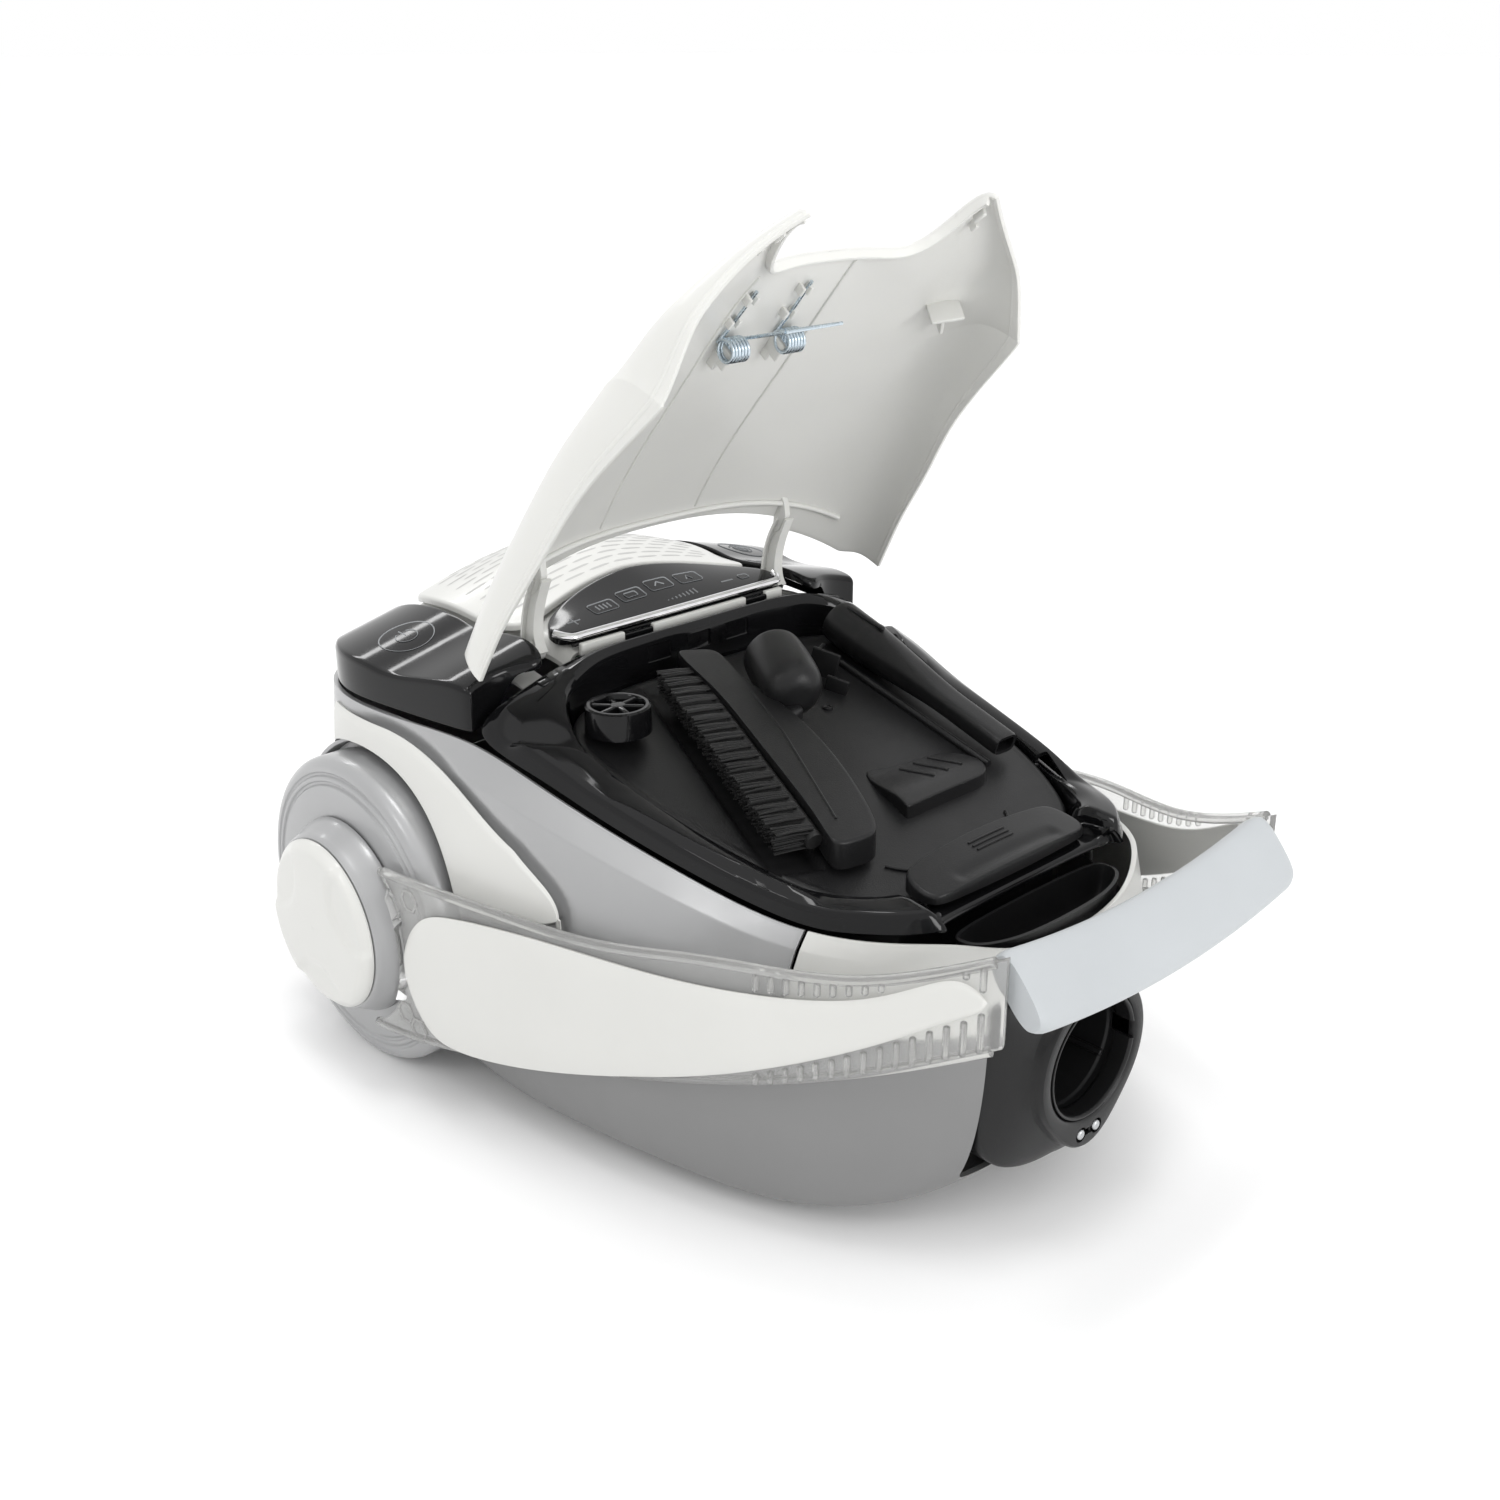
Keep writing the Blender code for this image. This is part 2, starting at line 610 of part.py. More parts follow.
def latch_pocket():
    """Finger pocket in front of the latch flap."""
    edge = mm((0, -174, 0), (30, -172, 0), (47, -165, 0), (50, -158.5, 0), (42, -153.5, 0),
              (0, -152, 0))
    outline = outline_2d(edge, 10)
    middle = Vector((0, -163 * MM))

    def ring(scale, z):
        return [Vector((lerp(middle[0], p[0], scale), lerp(middle[1], p[1], scale), z))
                for p in outline]

    rows = [ring(1.0, 142 * MM), ring(0.97, 128 * MM), ring(0.8, 122.5 * MM), ring(0, 122.5 * MM)]
    return sheet("latch_pocket", rows, "black_satin", Vector((0, -165, 240)) * MM, wall=-1.6 * MM,
                 closed=True)


# ---- lid ----
LID_EDGE = mm((133, 70, 189), (131.5, 50, 187), (129.5, 30, 184), (126, 0, 177.5),
              (122, -28, 172), (118, -58, 162), (112, -94, 147), (95, -131, 154),
              (80, -148, 155), (57, -170, 150))
LID_SPINE = mm((0, 42, 234), (0, 25, 232), (0, 5, 228.5), (0, -20, 222), (0, -45, 214),
               (0, -70, 205.5), (0, -95, 197), (0, -115, 190), (0, -131, 184.5))


def lid_shell():
    """Lid in its closed place: crowned sheet with side flanges and a cut-out front."""
    lengthwise, across = 13, 9
    edge, spine = spline(LID_EDGE, lengthwise), spline(LID_SPINE, lengthwise)
    rows = []
    for k, (e, c) in enumerate(zip(edge, spine)):
        v = k / (lengthwise - 1)
        power = 2 / (2.6 + 0.6 * math.exp(-((v - 0.55) / 0.22) ** 2))
        row = []
        for j in range(across):
            angle = j / (across - 1) * math.pi / 2
            reach, height = math.sin(angle) ** power, math.cos(angle) ** power
            slide = reach ** lerp(2.2, 9, v)
            row.append(Vector((e.x * reach, lerp(c.y, e.y, slide), lerp(e.z, c.z, height))))
        rows.append(row)
    return sheet("lid_shell", rows, "white_plastic", Vector((0, -60, 100)) * MM, wall=2.0 * MM,
                 mirror=True)


def hinge_arm(side, sign):
    """Curved arm from the lid's rear edge down to its pivot, drawn with the lid closed."""
    outer = mm((0, 91.5, 214), (0, 88, 219.5), (0, 78, 223.5), (0, 64, 225.5), (0, 50, 224.2))
    inner = mm((0, 47, 218.8), (0, 60, 219.0), (0, 72, 217.2), (0, 80.5, 213), (0, 84, 208.5))
    bm = bmesh.new()
    loop = spline(outer, 9) + spline(inner, 9)
    face = bm.faces.new([bm.verts.new((0, p.y, p.z)) for p in loop])
    pushed = bmesh.ops.extrude_face_region(bm, geom=[face])
    moved = [v for v in pushed["geom"] if isinstance(v, bmesh.types.BMVert)]
    bmesh.ops.translate(bm, vec=(6 * MM, 0, 0), verts=moved)
    bmesh.ops.translate(bm, vec=((sign * 80 - 3) * MM, 0, 0), verts=bm.verts)
    bmesh.ops.recalc_face_normals(bm, faces=bm.faces)
    arm = from_bmesh(bm, f"hinge_arm_{side}", "white_plastic")
    pin_hole = cutter_rod(f"hinge_hole_{side}", 2.3 * MM, 12 * MM,
                          Vector((sign * 80 * MM, LID_PIVOT.y, LID_PIVOT.z)), (1, 0, 0), 20)
    return boolean(arm, pin_hole)


def hinge_pin(side, sign):
    """Pivot pin of one lid arm, held in the slot beside the display."""
    return rod(f"hinge_pin_{side}", 2.0 * MM, 9 * MM,
               Vector((sign * 80.0 * MM, LID_PIVOT.y, LID_PIVOT.z)), (1, 0, 0), "spring_steel", 20)


def lid_spring():
    """Double torsion spring under the lid: leg, coil, bail, coil and leg in one wire."""
    turns, radius, steps = 3, 5.2 * MM, 8
    centre, coil_start, coil_length = -20 * MM, 10.5 * MM, 9 * MM
    coil_y, coil_z = -92 * MM, 184 * MM
    half = mm((6.5, -100.5, 164.5), (9, -99.5, 166), (10, -95, 175))
    for k in range(turns * steps + 1):
        angle = -math.pi / 2 + 2 * math.pi * k / steps
        half.append(Vector((coil_start + coil_length * k / (turns * steps),
                            coil_y + radius * math.cos(angle), coil_z + radius * math.sin(angle))))
    half += mm((20.3, -97.6, 184), (21, -104, 181.5))
    other = [Vector((-p.x, p.y, p.z)) for p in reversed(half)]
    path = [p + Vector((centre, 0, 0)) for p in other + half]
    return wire("lid_spring", path, 0.6 * MM, "spring_steel", 0)


# ---- inner cover and what it carries ----
def tray_outline(inset, count):
    points = [Vector((p.x - inset * (p.x > 0), p.y - math.copysign(inset, p.y + 40 * MM), 0))
              for p in reversed(DECK_INNER)]
    return outline_2d(points, count)


def tray_cover():
    """Inner cover over the dust chamber, which is also the tool tray."""
    rows = []
    outline = tray_outline(TRAY_CLEARANCE, 20)
    middle = Vector((0, -40 * MM))
    for scale, drop in ((1.0, 7.5), (1.0, 1.0), (0.985, 0.0), (0.6, 0.0), (0.0, 0.0)):
        row = []
        for p in outline:
            x, y = lerp(middle[0], p[0], scale), lerp(middle[1], p[1], scale)
            row.append(Vector((x, y, tray_z(y) - drop * MM)))
        rows.append(row)
    cover = sheet("tray_cover", rows, "black_satin", Vector((0, -40, 60)) * MM, wall=2.0 * MM,
                  closed=True)
    clip_spot = on_tray(Vector((42, 20, 0)) * MM, 7 * MM)
    clip = box("tool_clip", Vector((3, 16, 17)) * MM, clip_spot, None, tilt=(0.25, 0, 0.5),
               collection=CUTTERS)
    rest_spot = on_tray(Vector((26, -72, 0)) * MM, 2 * MM)
    rest = box("tool_rest", Vector((52, 26, 10)) * MM, rest_spot, None, 2 * MM,
               tilt=(0.25, 0, -0.06), collection=CUTTERS)
    boolean(cover, clip, "UNION")
    return boolean(cover, rest, "UNION")


def latch_flap():
    edge = mm((0, -147.5, 0), (36, -146.5, 0), (52, -142, 0), (51, -128, 0), (38, -123.5, 0),
              (0, -122.5, 0))

    def top(x, y):
        return 162.5 * MM + 0.22 * (y + 132 * MM) - 3.0 * MM * (x / (52 * MM)) ** 2

    return solid_cap("latch_flap", outline_2d(edge, 10), top, lambda x, y: 152.3 * MM,
                     "black_satin", 2 * MM)


def relief_valve_cap():
    spot = Vector((-82 * MM, 22 * MM, 0))
    base = tray_z(spot.y) + 4.6 * MM
    profile = [(0, 13 * MM), (13 * MM, 13 * MM), (15 * MM, 11.5 * MM), (15.5 * MM, 0),
               (12.5 * MM, 0), (12.5 * MM, 9 * MM), (0, 9 * MM)]
    return turned("relief_valve_cap", profile, Vector((spot.x, spot.y, base)), (0, 0, 1),
                  "black_satin", 24)


BRUSH_REAR = Vector((-14, 38, 0)) * MM
BRUSH_FRONT = Vector((-58, -92, 0)) * MM


def on_tray(spot, height):
    return Vector((spot.x, spot.y, tray_z(spot.y) + height))


def bar_between(name, a, b, size, material, bevel):
    """A rounded bar whose length runs between two points above the tray."""
    run = b - a
    bar = box(name, (size[0], run.length, size[1]), (a + b) / 2, material, bevel)
    heading = math.atan2(-run.x, run.y)
    pitch = math.asin(run.z / run.length)
    turn = Matrix.Rotation(heading, 4, "Z") @ Matrix.Rotation(pitch, 4, "X")
    bar.rotation_euler = turn.to_euler()
    return bar


def dusting_brush():
    """Brush head bar with the hollow neck ball that fits on a wand."""
    body = bar_between("brush_body", on_tray(BRUSH_FRONT, 11 * MM), on_tray(BRUSH_REAR, 11 * MM),
                       (19 * MM, 15 * MM), "black_satin", 4 * MM)
    neck_spot = on_tray(Vector((10, 12, 0)) * MM, 21 * MM)
    neck = rod("brush_neck", 15 * MM, 34 * MM, neck_spot, (0.25, 0.9, 0.1), None, 16,
               13 * MM, CUTTERS)
    bridge = rod("brush_bridge", 6 * MM, 50 * MM, on_tray(Vector((-10, -10, 0)) * MM, 11.5 * MM),
                 (0.8, 0.9, 0.24), None, 12, None, CUTTERS)
    boolean(body, neck, "UNION")
    boolean(body, bridge, "UNION")
    return body


def brush_bristles():
    shift = Vector((-19.5, 6.5, 0)) * MM
    return bar_between("brush_bristles", on_tray(BRUSH_FRONT + shift, 8.5 * MM),
                       on_tray(BRUSH_REAR + shift, 8.5 * MM), (18 * MM, 13 * MM), "bristle", 2 * MM)


def crevice_tool():
    a = on_tray(Vector((74, -80, 0)) * MM, 9.5 * MM)
    b = on_tray(Vector((80.5, 38, 0)) * MM, 12.5 * MM)
    run = b - a
    return rod("crevice_tool", 7.5 * MM, run.length, (a + b) / 2, run, "black_satin", 20, 12 * MM)


# ---- carry handle ----
ARM_PLAN = mm((93.6, -214, 0), (113, -158, 0), (130, -108, 0), (142.5, -58, 0), (152, -8, 0),
              (160, 42, 0), (164.8, 92, 0), (166, 142, 0))
ARM_TOP = mm((0, -214, 172), (0, -158, 147), (0, -108, 139), (0, -58, 128), (0, -8, 124),
             (0, 42, 121), (0, 92, 119), (0, 142, 119))
ARM_LOW = mm((0, -214, 134), (0, -158, 105), (0, -108, 84), (0, -58, 66), (0, -8, 50),
             (0, 42, 37), (0, 92, 31), (0, 142, 31))
ARM_WALL = 3.4 * MM


def arm_x(y):
    return curve_at(spline(ARM_PLAN, 60), y, 0)


def handle_arm(side, sign):
    """Clear arm from the hub forward to the grip."""
    columns, levels = 15, 4
    tops, lows = spline(ARM_TOP, 40), spline(ARM_LOW, 40)
    rows = []
    for j in range(levels + 1):
        row = []
        for i in range(columns + 1):
            share = i / columns
            y = lerp(-214 * MM, 98 * MM, share)
            z = lerp(curve_at(lows, y, 2), curve_at(tops, y, 2), j / levels)
            rise = z - AXLE.z
            hub_edge = AXLE.y - math.sqrt(max(0.0, (HUB_RADIUS + 4.0 * MM) ** 2 - rise ** 2))
            y = lerp(y, hub_edge, share ** 3)
            row.append(Vector((sign * arm_x(y), y, z)))
        rows.append(row)
    return sheet(f"handle_arm_{side}", rows, "clear_plastic", BODY_CENTRE, wall=ARM_WALL,
                 origin=AXLE)


PLATE_TOP = mm((0, -208, 158), (0, -196, 160), (0, -158, 140), (0, -108, 129), (0, -58, 124),
               (0, 0, 120), (0, 50, 113), (0, 76, 100), (0, 86, 78))
PLATE_LOW = mm((0, -208, 148), (0, -198, 142), (0, -158, 117), (0, -108, 91), (0, -58, 71),
               (0, 0, 52), (0, 50, 42), (0, 76, 52), (0, 86, 70))


def arm_plate(side, sign):
    """White plate laid on the outside of the clear arm."""
    tops, lows = spline(PLATE_TOP, 18), spline(PLATE_LOW, 18)
    rows = []
    for j in range(4):
        row = []
        for top, low in zip(tops, lows):
            y, z = lerp(low.y, top.y, j / 3), lerp(low.z, top.z, j / 3)
            row.append(Vector((sign * (arm_x(y) + 1.9 * MM), y, z)))
        rows.append(row)
    return sheet(f"arm_plate_{side}", rows, "white_plastic", BODY_CENTRE, wall=1.4 * MM,
                 origin=AXLE)


GRIP_HALF = 89.6 * MM


def grip():
    """Soft bar between the two arms, leaning forwards and bowed down in the middle."""
    count = 11
    sections = []
    for k in range(count):
        u = -1 + 2 * k / (count - 1)
        bow = (1 - u * u) * 7 * MM
        middle = Vector((u * GRIP_HALF, -216 * MM - bow * 0.25, 157 * MM - bow))
        ring = []
        for m in range(12):
            angle = 2 * math.pi * m / 12
            c, s = math.cos(angle), math.sin(angle)
            tall = 17 * MM * math.copysign(abs(s) ** 0.6, s)
            deep = 6 * MM * math.copysign(abs(c) ** 0.6, c)
            along, normal = Vector((0, 0.64, 0.77)), Vector((0, -0.77, 0.64))
            ring.append(middle + along * tall + normal * deep)
        sections.append(ring)
    bm = bmesh.new()
    grid = [[bm.verts.new(p) for p in ring] for ring in sections]
    for a, b in zip(grid, grid[1:]):
        for m in range(12):
            n = (m + 1) % 12
            bm.faces.new((a[m], a[n], b[n], b[m]))
    bm.faces.new(grid[0])
    bm.faces.new(grid[-1])
    bmesh.ops.recalc_face_normals(bm, faces=bm.faces)
    return from_bmesh(bm, "grip", "grip_grey", origin=AXLE)


def handle_hub(side, sign):
    """Bell-shaped hub that carries the arm and turns on the axle's end."""
    start = WHEEL_OUTER_X + 1.0 * MM
    profile = [(40 * MM, 174.5 * MM - start), (44 * MM, 172 * MM - start),
               (46.5 * MM, 168 * MM - start), (HUB_RADIUS - 0.5 * MM, 165 * MM - start),
               (HUB_RADIUS - 0.5 * MM, 0), (7 * MM, 0), (7 * MM, 4 * MM), (38 * MM, 7 * MM),
               (38 * MM, 174.5 * MM - start)]
    return turned(f"handle_hub_{side}", profile, Vector((sign * start, AXLE.y, AXLE.z)),
                  (sign, 0, 0), "silver_plastic", 28)


def hub_cap(side, sign):
    start = 174.5 * MM + GAP
    height = CAP_OUTER_X - start
    profile = [(0, height), (20 * MM, height - 0.4 * MM), (36 * MM, height - 1.8 * MM),
               (CAP_RADIUS - 1 * MM, height - 4.4 * MM), (CAP_RADIUS, height - 6.0 * MM),
               (CAP_RADIUS, 0), (0, 0)]
    return turned(f"hub_cap_{side}", profile, Vector((sign * start, AXLE.y, AXLE.z)),
                  (sign, 0, 0), "white_plastic", 28)


# ---- running gear ----
def wheel(side, sign):
    """Large rear wheel with a rounded rim and a shallow face."""
    width = WHEEL_OUTER_X - WHEEL_INNER_X
    r = WHEEL_RADIUS
    profile = [(7 * MM, width), (67.5 * MM, width), (69 * MM, width - 2 * MM),
               (70.5 * MM, width - 0.6 * MM), (r - 3 * MM, width - 2.2 * MM), (r, width - 6 * MM),
               (r, 2 * MM), (r - 2 * MM, 0), (64 * MM, 0), (64 * MM, 14 * MM), (16 * MM, 14 * MM),
               (16 * MM, 0), (7 * MM, 0)]
    return turned(f"wheel_{side}", profile, Vector((sign * WHEEL_INNER_X, AXLE.y, AXLE.z)),
                  (sign, 0, 0), "silver_plastic", 28)


def axle_stub(side, sign):
    """Short axle held in the wheel well, carrying the wheel and the handle's hub."""
    return rod(f"axle_{side}", 6.0 * MM, 42 * MM, Vector((sign * 141 * MM, AXLE.y, AXLE.z)),
               (1, 0, 0), "spring_steel", 20)


def caster_socket():
    """Round pocket in the underside that the caster swivels in."""
    profile = [(21.6 * MM, 26 * MM), (21.6 * MM, 5 * MM), (20 * MM, 5 * MM), (20 * MM, 24 * MM),
               (3.6 * MM, 24 * MM), (3.6 * MM, 26 * MM)]
    return turned("caster_socket", profile, Vector((0, CASTER.y, CASTER.z)), (0, 0, 1),
                  "silver_plastic", 28)


def caster_fork():
    """Fork plate, stem and two cheeks in one piece."""
    top = CASTER.z + 21 * MM
    plate = rod("caster_fork", 17 * MM, 4 * MM, Vector((0, CASTER.y, top)), (0, 0, 1),
                "black_satin", 28)
    boolean(plate, rod("caster_stem", 3.2 * MM, 8 * MM, Vector((0, CASTER.y, top + 2.5 * MM)),
                       (0, 0, 1), None, 20, None, CUTTERS), "UNION")
    for side, sign in SIDES:
        cheek = box(f"caster_cheek_{side}", Vector((2.6, 10, 28)) * MM,
                    Vector((sign * 8.5 * MM, CASTER.y, top - 12 * MM)), None, collection=CUTTERS)
        boolean(plate, cheek, "UNION")
    return boolean(plate, cutter_rod("caster_pin_hole", 1.8 * MM, 30 * MM, CASTER, (1, 0, 0), 16))


def caster_wheel():
    """Front wheel with its stub axles moulded on."""
    half, stub = 6 * MM, 1.5 * MM
    edge, tip = 1 * MM, half + 3.4 * MM
    profile = [(0, tip), (stub, tip), (stub, half), (CASTER_RADIUS - edge, half),
               (CASTER_RADIUS, half - edge), (CASTER_RADIUS, edge - half),
               (CASTER_RADIUS - edge, -half), (stub, -half), (stub, -tip), (0, -tip)]
    return turned("caster_wheel", profile, CASTER, (1, 0, 0), "rubber", 24)


# ---- inside ----
CHAMBER = mm((0, -128, 0), (50, -126, 0), (76, -108, 0), (88, -70, 0), (92, -20, 0), (92, 14, 0),
             (80, 24, 0), (0, 25, 0))


def dust_chamber():
    """Bucket that holds the dust bag, open at the top."""
    outline = outline_2d(CHAMBER, 14)
    middle = Vector((0, -50 * MM))

    def ring(scale, height):
        spots = [(lerp(middle[0], p[0], scale), lerp(middle[1], p[1], scale)) for p in outline]
        return [Vector((x, y, height(y))) for x, y in spots]

    rows = [ring(1.0, lambda y: tray_z(y) - 16 * MM), ring(1.0, lambda y: 52 * MM),
            ring(0.92, lambda y: 42 * MM), ring(0.0, lambda y: 42 * MM)]
    bucket = sheet("dust_chamber", rows, "black_satin", Vector((0, -50, 260)) * MM,
                   wall=-2.0 * MM, closed=True)
    boolean(bucket, cutter_rod("inlet_hole", PORT_RADIUS + 3 * MM, 60 * MM,
                               Vector((0, -125, 80)) * MM, (0, 1, 0)))
    return boolean(bucket, cutter_box("outlet_window", Vector((90, 30, 60)) * MM,
                                      Vector((0, 24, 95)) * MM))


def chamber_seal():
    """Rubber seal between the chamber's rim and the inner cover."""
    outline = outline_2d(CHAMBER, 14)
    path = [Vector((p[0], p[1], tray_z(p[1]) - 12.6 * MM)) for p in outline]
    return wire("chamber_seal", path, 2.2 * MM, "rubber", 1, cyclic=True)


def dust_bag():
    return box("dust_bag", Vector((140, 96, 84)) * MM, Vector((0, -46, 92)) * MM, "filter_paper",
               18 * MM, segments=3)


def bag_collar():
    collar = box("bag_collar", Vector((92, 3, 76)) * MM, Vector((0, -112, 84)) * MM,
                 "white_plastic", 1 * MM)
    return boolean(collar, cutter_rod("collar_hole", 22 * MM, 20 * MM, Vector((0, -112, 80)) * MM,
                                      (0, 1, 0), 32))


def motor_filter():
    return box("motor_filter", Vector((100, 6, 66)) * MM, Vector((0, 32, 95)) * MM, "filter_paper",
               1 * MM)


MOTOR = Vector((-34, 98, 92)) * MM


def motor_housing():
    """Round can that the motor hangs in, open to the exhaust at its back."""
    profile = [(50 * MM, 48 * MM), (50 * MM, -46 * MM), (47.6 * MM, -46 * MM),
               (47.6 * MM, 45.6 * MM), (22 * MM, 45.6 * MM), (22 * MM, 48 * MM)]
    return turned("motor_housing", profile, MOTOR, (0, -1, 0), "black_satin", 28)


def motor():
    """Motor body, hollow for its shaft."""
    profile = [(3.4 * MM, 22 * MM), (34 * MM, 22 * MM), (36 * MM, 20 * MM), (36 * MM, -38 * MM),
               (20 * MM, -40 * MM), (3.4 * MM, -40 * MM)]
    return turned("motor", profile, MOTOR, (0, -1, 0), "motor_metal", 24)


def fan_wheel():
    """Suction fan with its shaft in one solid, on the motor's axis."""
    profile = [(0, 42 * MM), (12 * MM, 42 * MM), (12 * MM, 38 * MM), (43 * MM, 36 * MM),
               (43 * MM, 25 * MM), (3.1 * MM, 25 * MM), (3.1 * MM, -44 * MM), (0, -44 * MM)]
    return turned("fan_wheel", profile, MOTOR, (0, -1, 0), "motor_metal", 24)


REEL = Vector((62, 140, 92)) * MM


def cord_reel():
    """Drum that the mains cord winds on."""
    profile = [(0, 24 * MM), (4 * MM, 24 * MM), (4 * MM, 20 * MM), (50 * MM, 20 * MM),
               (50 * MM, 17.5 * MM), (22 * MM, 17.5 * MM), (22 * MM, -17.5 * MM),
               (50 * MM, -17.5 * MM), (50 * MM, -20 * MM), (4 * MM, -20 * MM), (4 * MM, -24 * MM),
               (0, -24 * MM)]
    return turned("cord_reel", profile, REEL, (1, 0, 0), "black_satin", 24)


def exhaust_filter():
    return box("exhaust_filter", Vector((124, 62, 14)) * MM, Vector((0, 165, 196)) * MM,
               "filter_paper", 1 * MM)


def circuit_board():
    return box("circuit_board", Vector((116, 26, 1.6)) * MM, Vector((0, 92, 206)) * MM,
               "board_green")


def cord_outlet():
    """Lined outlet at the back where the mains cord leaves the body."""
    profile = [(9 * MM, 5.5 * MM), (9 * MM, -6 * MM), (5 * MM, -6 * MM), (5 * MM, 5.5 * MM)]
    return turned("cord_outlet", profile, CORD_EXIT, (0, 1, 0), "black_satin", 20)


WHEEL_CUTTERS = {side: cutter_rod(f"wheel_opening_{side}", WHEEL_RADIUS + 6 * MM, 61 * MM,
                                  Vector((sign * 155.7 * MM, AXLE.y, AXLE.z)), (1, 0, 0), 48)
                 for side, sign in SIDES}


def open_lid(objects):
    """Swing the lid's parts from closed, where they are drawn, to open, where they rest."""
    pivot = bpy.data.objects.new("lid_pivot", None)
    PARTS.objects.link(pivot)
    pivot.location = LID_PIVOT
    for obj in objects:
        obj.parent = pivot
        obj.matrix_parent_inverse = Matrix.Translation(-LID_PIVOT)
    pivot.rotation_euler = (-LID_OPEN_ANGLE, 0, 0)


def main():
    lower_shell()
    upper_shell()
    front_cowl()
    deck_frame()
    rear_cover()
    display_panel()
    chrome_trim()
    ledge_strip()
    exhaust_grille()
    hose_bezel()
    port_sleeve()
    latch_pocket()
    lid_parts = [lid_shell(), lid_spring()]
    for side, sign in SIDES:
        side_inset(side, sign)
        wheel_well(side, sign)
        rear_pedal(side, sign)
        contact_pin(side, sign)
        hinge_pin(side, sign)
        lid_parts.append(hinge_arm(side, sign))
        handle_arm(side, sign)
        arm_plate(side, sign)
        handle_hub(side, sign)
        hub_cap(side, sign)
        wheel(side, sign)
        axle_stub(side, sign)
    open_lid(lid_parts)
    tray_cover()
    latch_flap()
    relief_valve_cap()
    dusting_brush()
    brush_bristles()
    crevice_tool()
    grip()
    caster_socket()
    caster_fork()
    caster_wheel()
    dust_chamber()
    chamber_seal()
    dust_bag()
    bag_collar()
    motor_filter()
    motor_housing()
    motor()
    fan_wheel()
    cord_reel()
    exhaust_filter()
    circuit_board()
    cord_outlet()


main()
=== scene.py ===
import math
import random

import bmesh
import bpy
import numpy as np
from mathutils import Matrix, Vector


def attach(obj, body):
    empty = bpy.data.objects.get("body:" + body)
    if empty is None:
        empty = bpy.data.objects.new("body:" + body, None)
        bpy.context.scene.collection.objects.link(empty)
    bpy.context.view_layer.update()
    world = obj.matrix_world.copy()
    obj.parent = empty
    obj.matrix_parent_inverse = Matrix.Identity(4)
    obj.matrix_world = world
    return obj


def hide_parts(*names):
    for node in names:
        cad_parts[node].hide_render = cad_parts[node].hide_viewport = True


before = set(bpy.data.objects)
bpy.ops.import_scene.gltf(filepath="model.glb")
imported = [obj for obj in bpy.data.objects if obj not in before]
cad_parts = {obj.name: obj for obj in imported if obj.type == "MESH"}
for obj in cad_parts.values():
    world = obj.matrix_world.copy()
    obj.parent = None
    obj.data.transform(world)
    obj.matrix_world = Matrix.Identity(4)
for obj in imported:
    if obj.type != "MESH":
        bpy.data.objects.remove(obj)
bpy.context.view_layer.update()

mm = 0.001
sides = (("left", -1), ("right", 1))
print("frame loaded:", len(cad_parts), "nodes")


# small maths helpers, all lengths in metres unless a name says mm
def points(*rows):
    return np.array(rows, dtype=float) * mm


def mix(a, b, t):
    return a + (b - a) * t


def ease(low, high, value):
    t = np.clip((value - low) / (high - low), 0, 1)
    return t * t * (3 - 2 * t)


def softCurve(pts, count, mirrored=False, closed=False):
    # curvature-continuous spline through the points, evenly spaced in point number
    pts = np.asarray(pts, dtype=float)
    pad = 0
    chain = pts
    if mirrored:
        pad = min(4, len(pts) - 1)
        flip = np.array([-1] + [1] * (pts.shape[1] - 1))
        chain = np.vstack([pts[pad:0:-1] * flip, pts, pts[-2:-2 - pad:-1] * flip])
    if closed:
        pad = len(pts)
        chain = np.vstack([pts, pts, pts, pts[:1]])
    n = len(chain)
    system = np.eye(n)
    right = np.zeros_like(chain)
    for i in range(1, n - 1):
        system[i, i - 1:i + 2] = (1, 4, 1)
        right[i] = 6 * (chain[i - 1] - 2 * chain[i] + chain[i + 1])
    bend = np.linalg.solve(system, right)
    span = len(pts) if closed else len(pts) - 1
    place = np.linspace(0, 1, count, endpoint=not closed) * span + pad
    k = np.clip(place.astype(int), 0, n - 2)
    t = (place - k)[:, None]
    a, b = chain[k], chain[k + 1]
    return (a * (1 - t) + b * t
            + (((1 - t) ** 3 - (1 - t)) * bend[k] + (t ** 3 - t) * bend[k + 1]) / 6)


def alongY(pts, y, axis):
    # one coordinate of a curve that runs along Y, where it passes y
    order = np.argsort(pts[:, 1])
    return np.interp(y, pts[order, 1], pts[order, axis])


def roundCorners(profile, radius, steps=5):
    # a closed loop of 2-D points with each corner turned into a small arc
    loop = [np.array(p, dtype=float) for p in profile]
    result = []
    for i, corner in enumerate(loop):
        before, after = loop[i - 1], loop[(i + 1) % len(loop)]
        toBefore, toAfter = before - corner, after - corner
        lengthA, lengthB = np.linalg.norm(toBefore), np.linalg.norm(toAfter)
        if min(lengthA, lengthB) < 1e-9 or abs(corner[0]) < 1e-7:
            result.append(corner)
            continue
        reach = min(radius, lengthA * 0.45, lengthB * 0.45)
        start, end = corner + toBefore / lengthA * reach, corner + toAfter / lengthB * reach
        for k in range(steps + 1):
            t = k / steps
            result.append((1 - t) ** 2 * start + 2 * t * (1 - t) * corner + t * t * end)
    return result


# mesh helpers
def addObject(name, data):
    obj = bpy.data.objects.new(name, data)
    bpy.context.scene.collection.objects.link(obj)
    return obj


def newMesh(name, verts, faces):
    mesh = bpy.data.meshes.new(name)
    mesh.from_pydata([tuple(v) for v in verts], [], faces)
    mesh.update()
    return addObject(name, mesh)


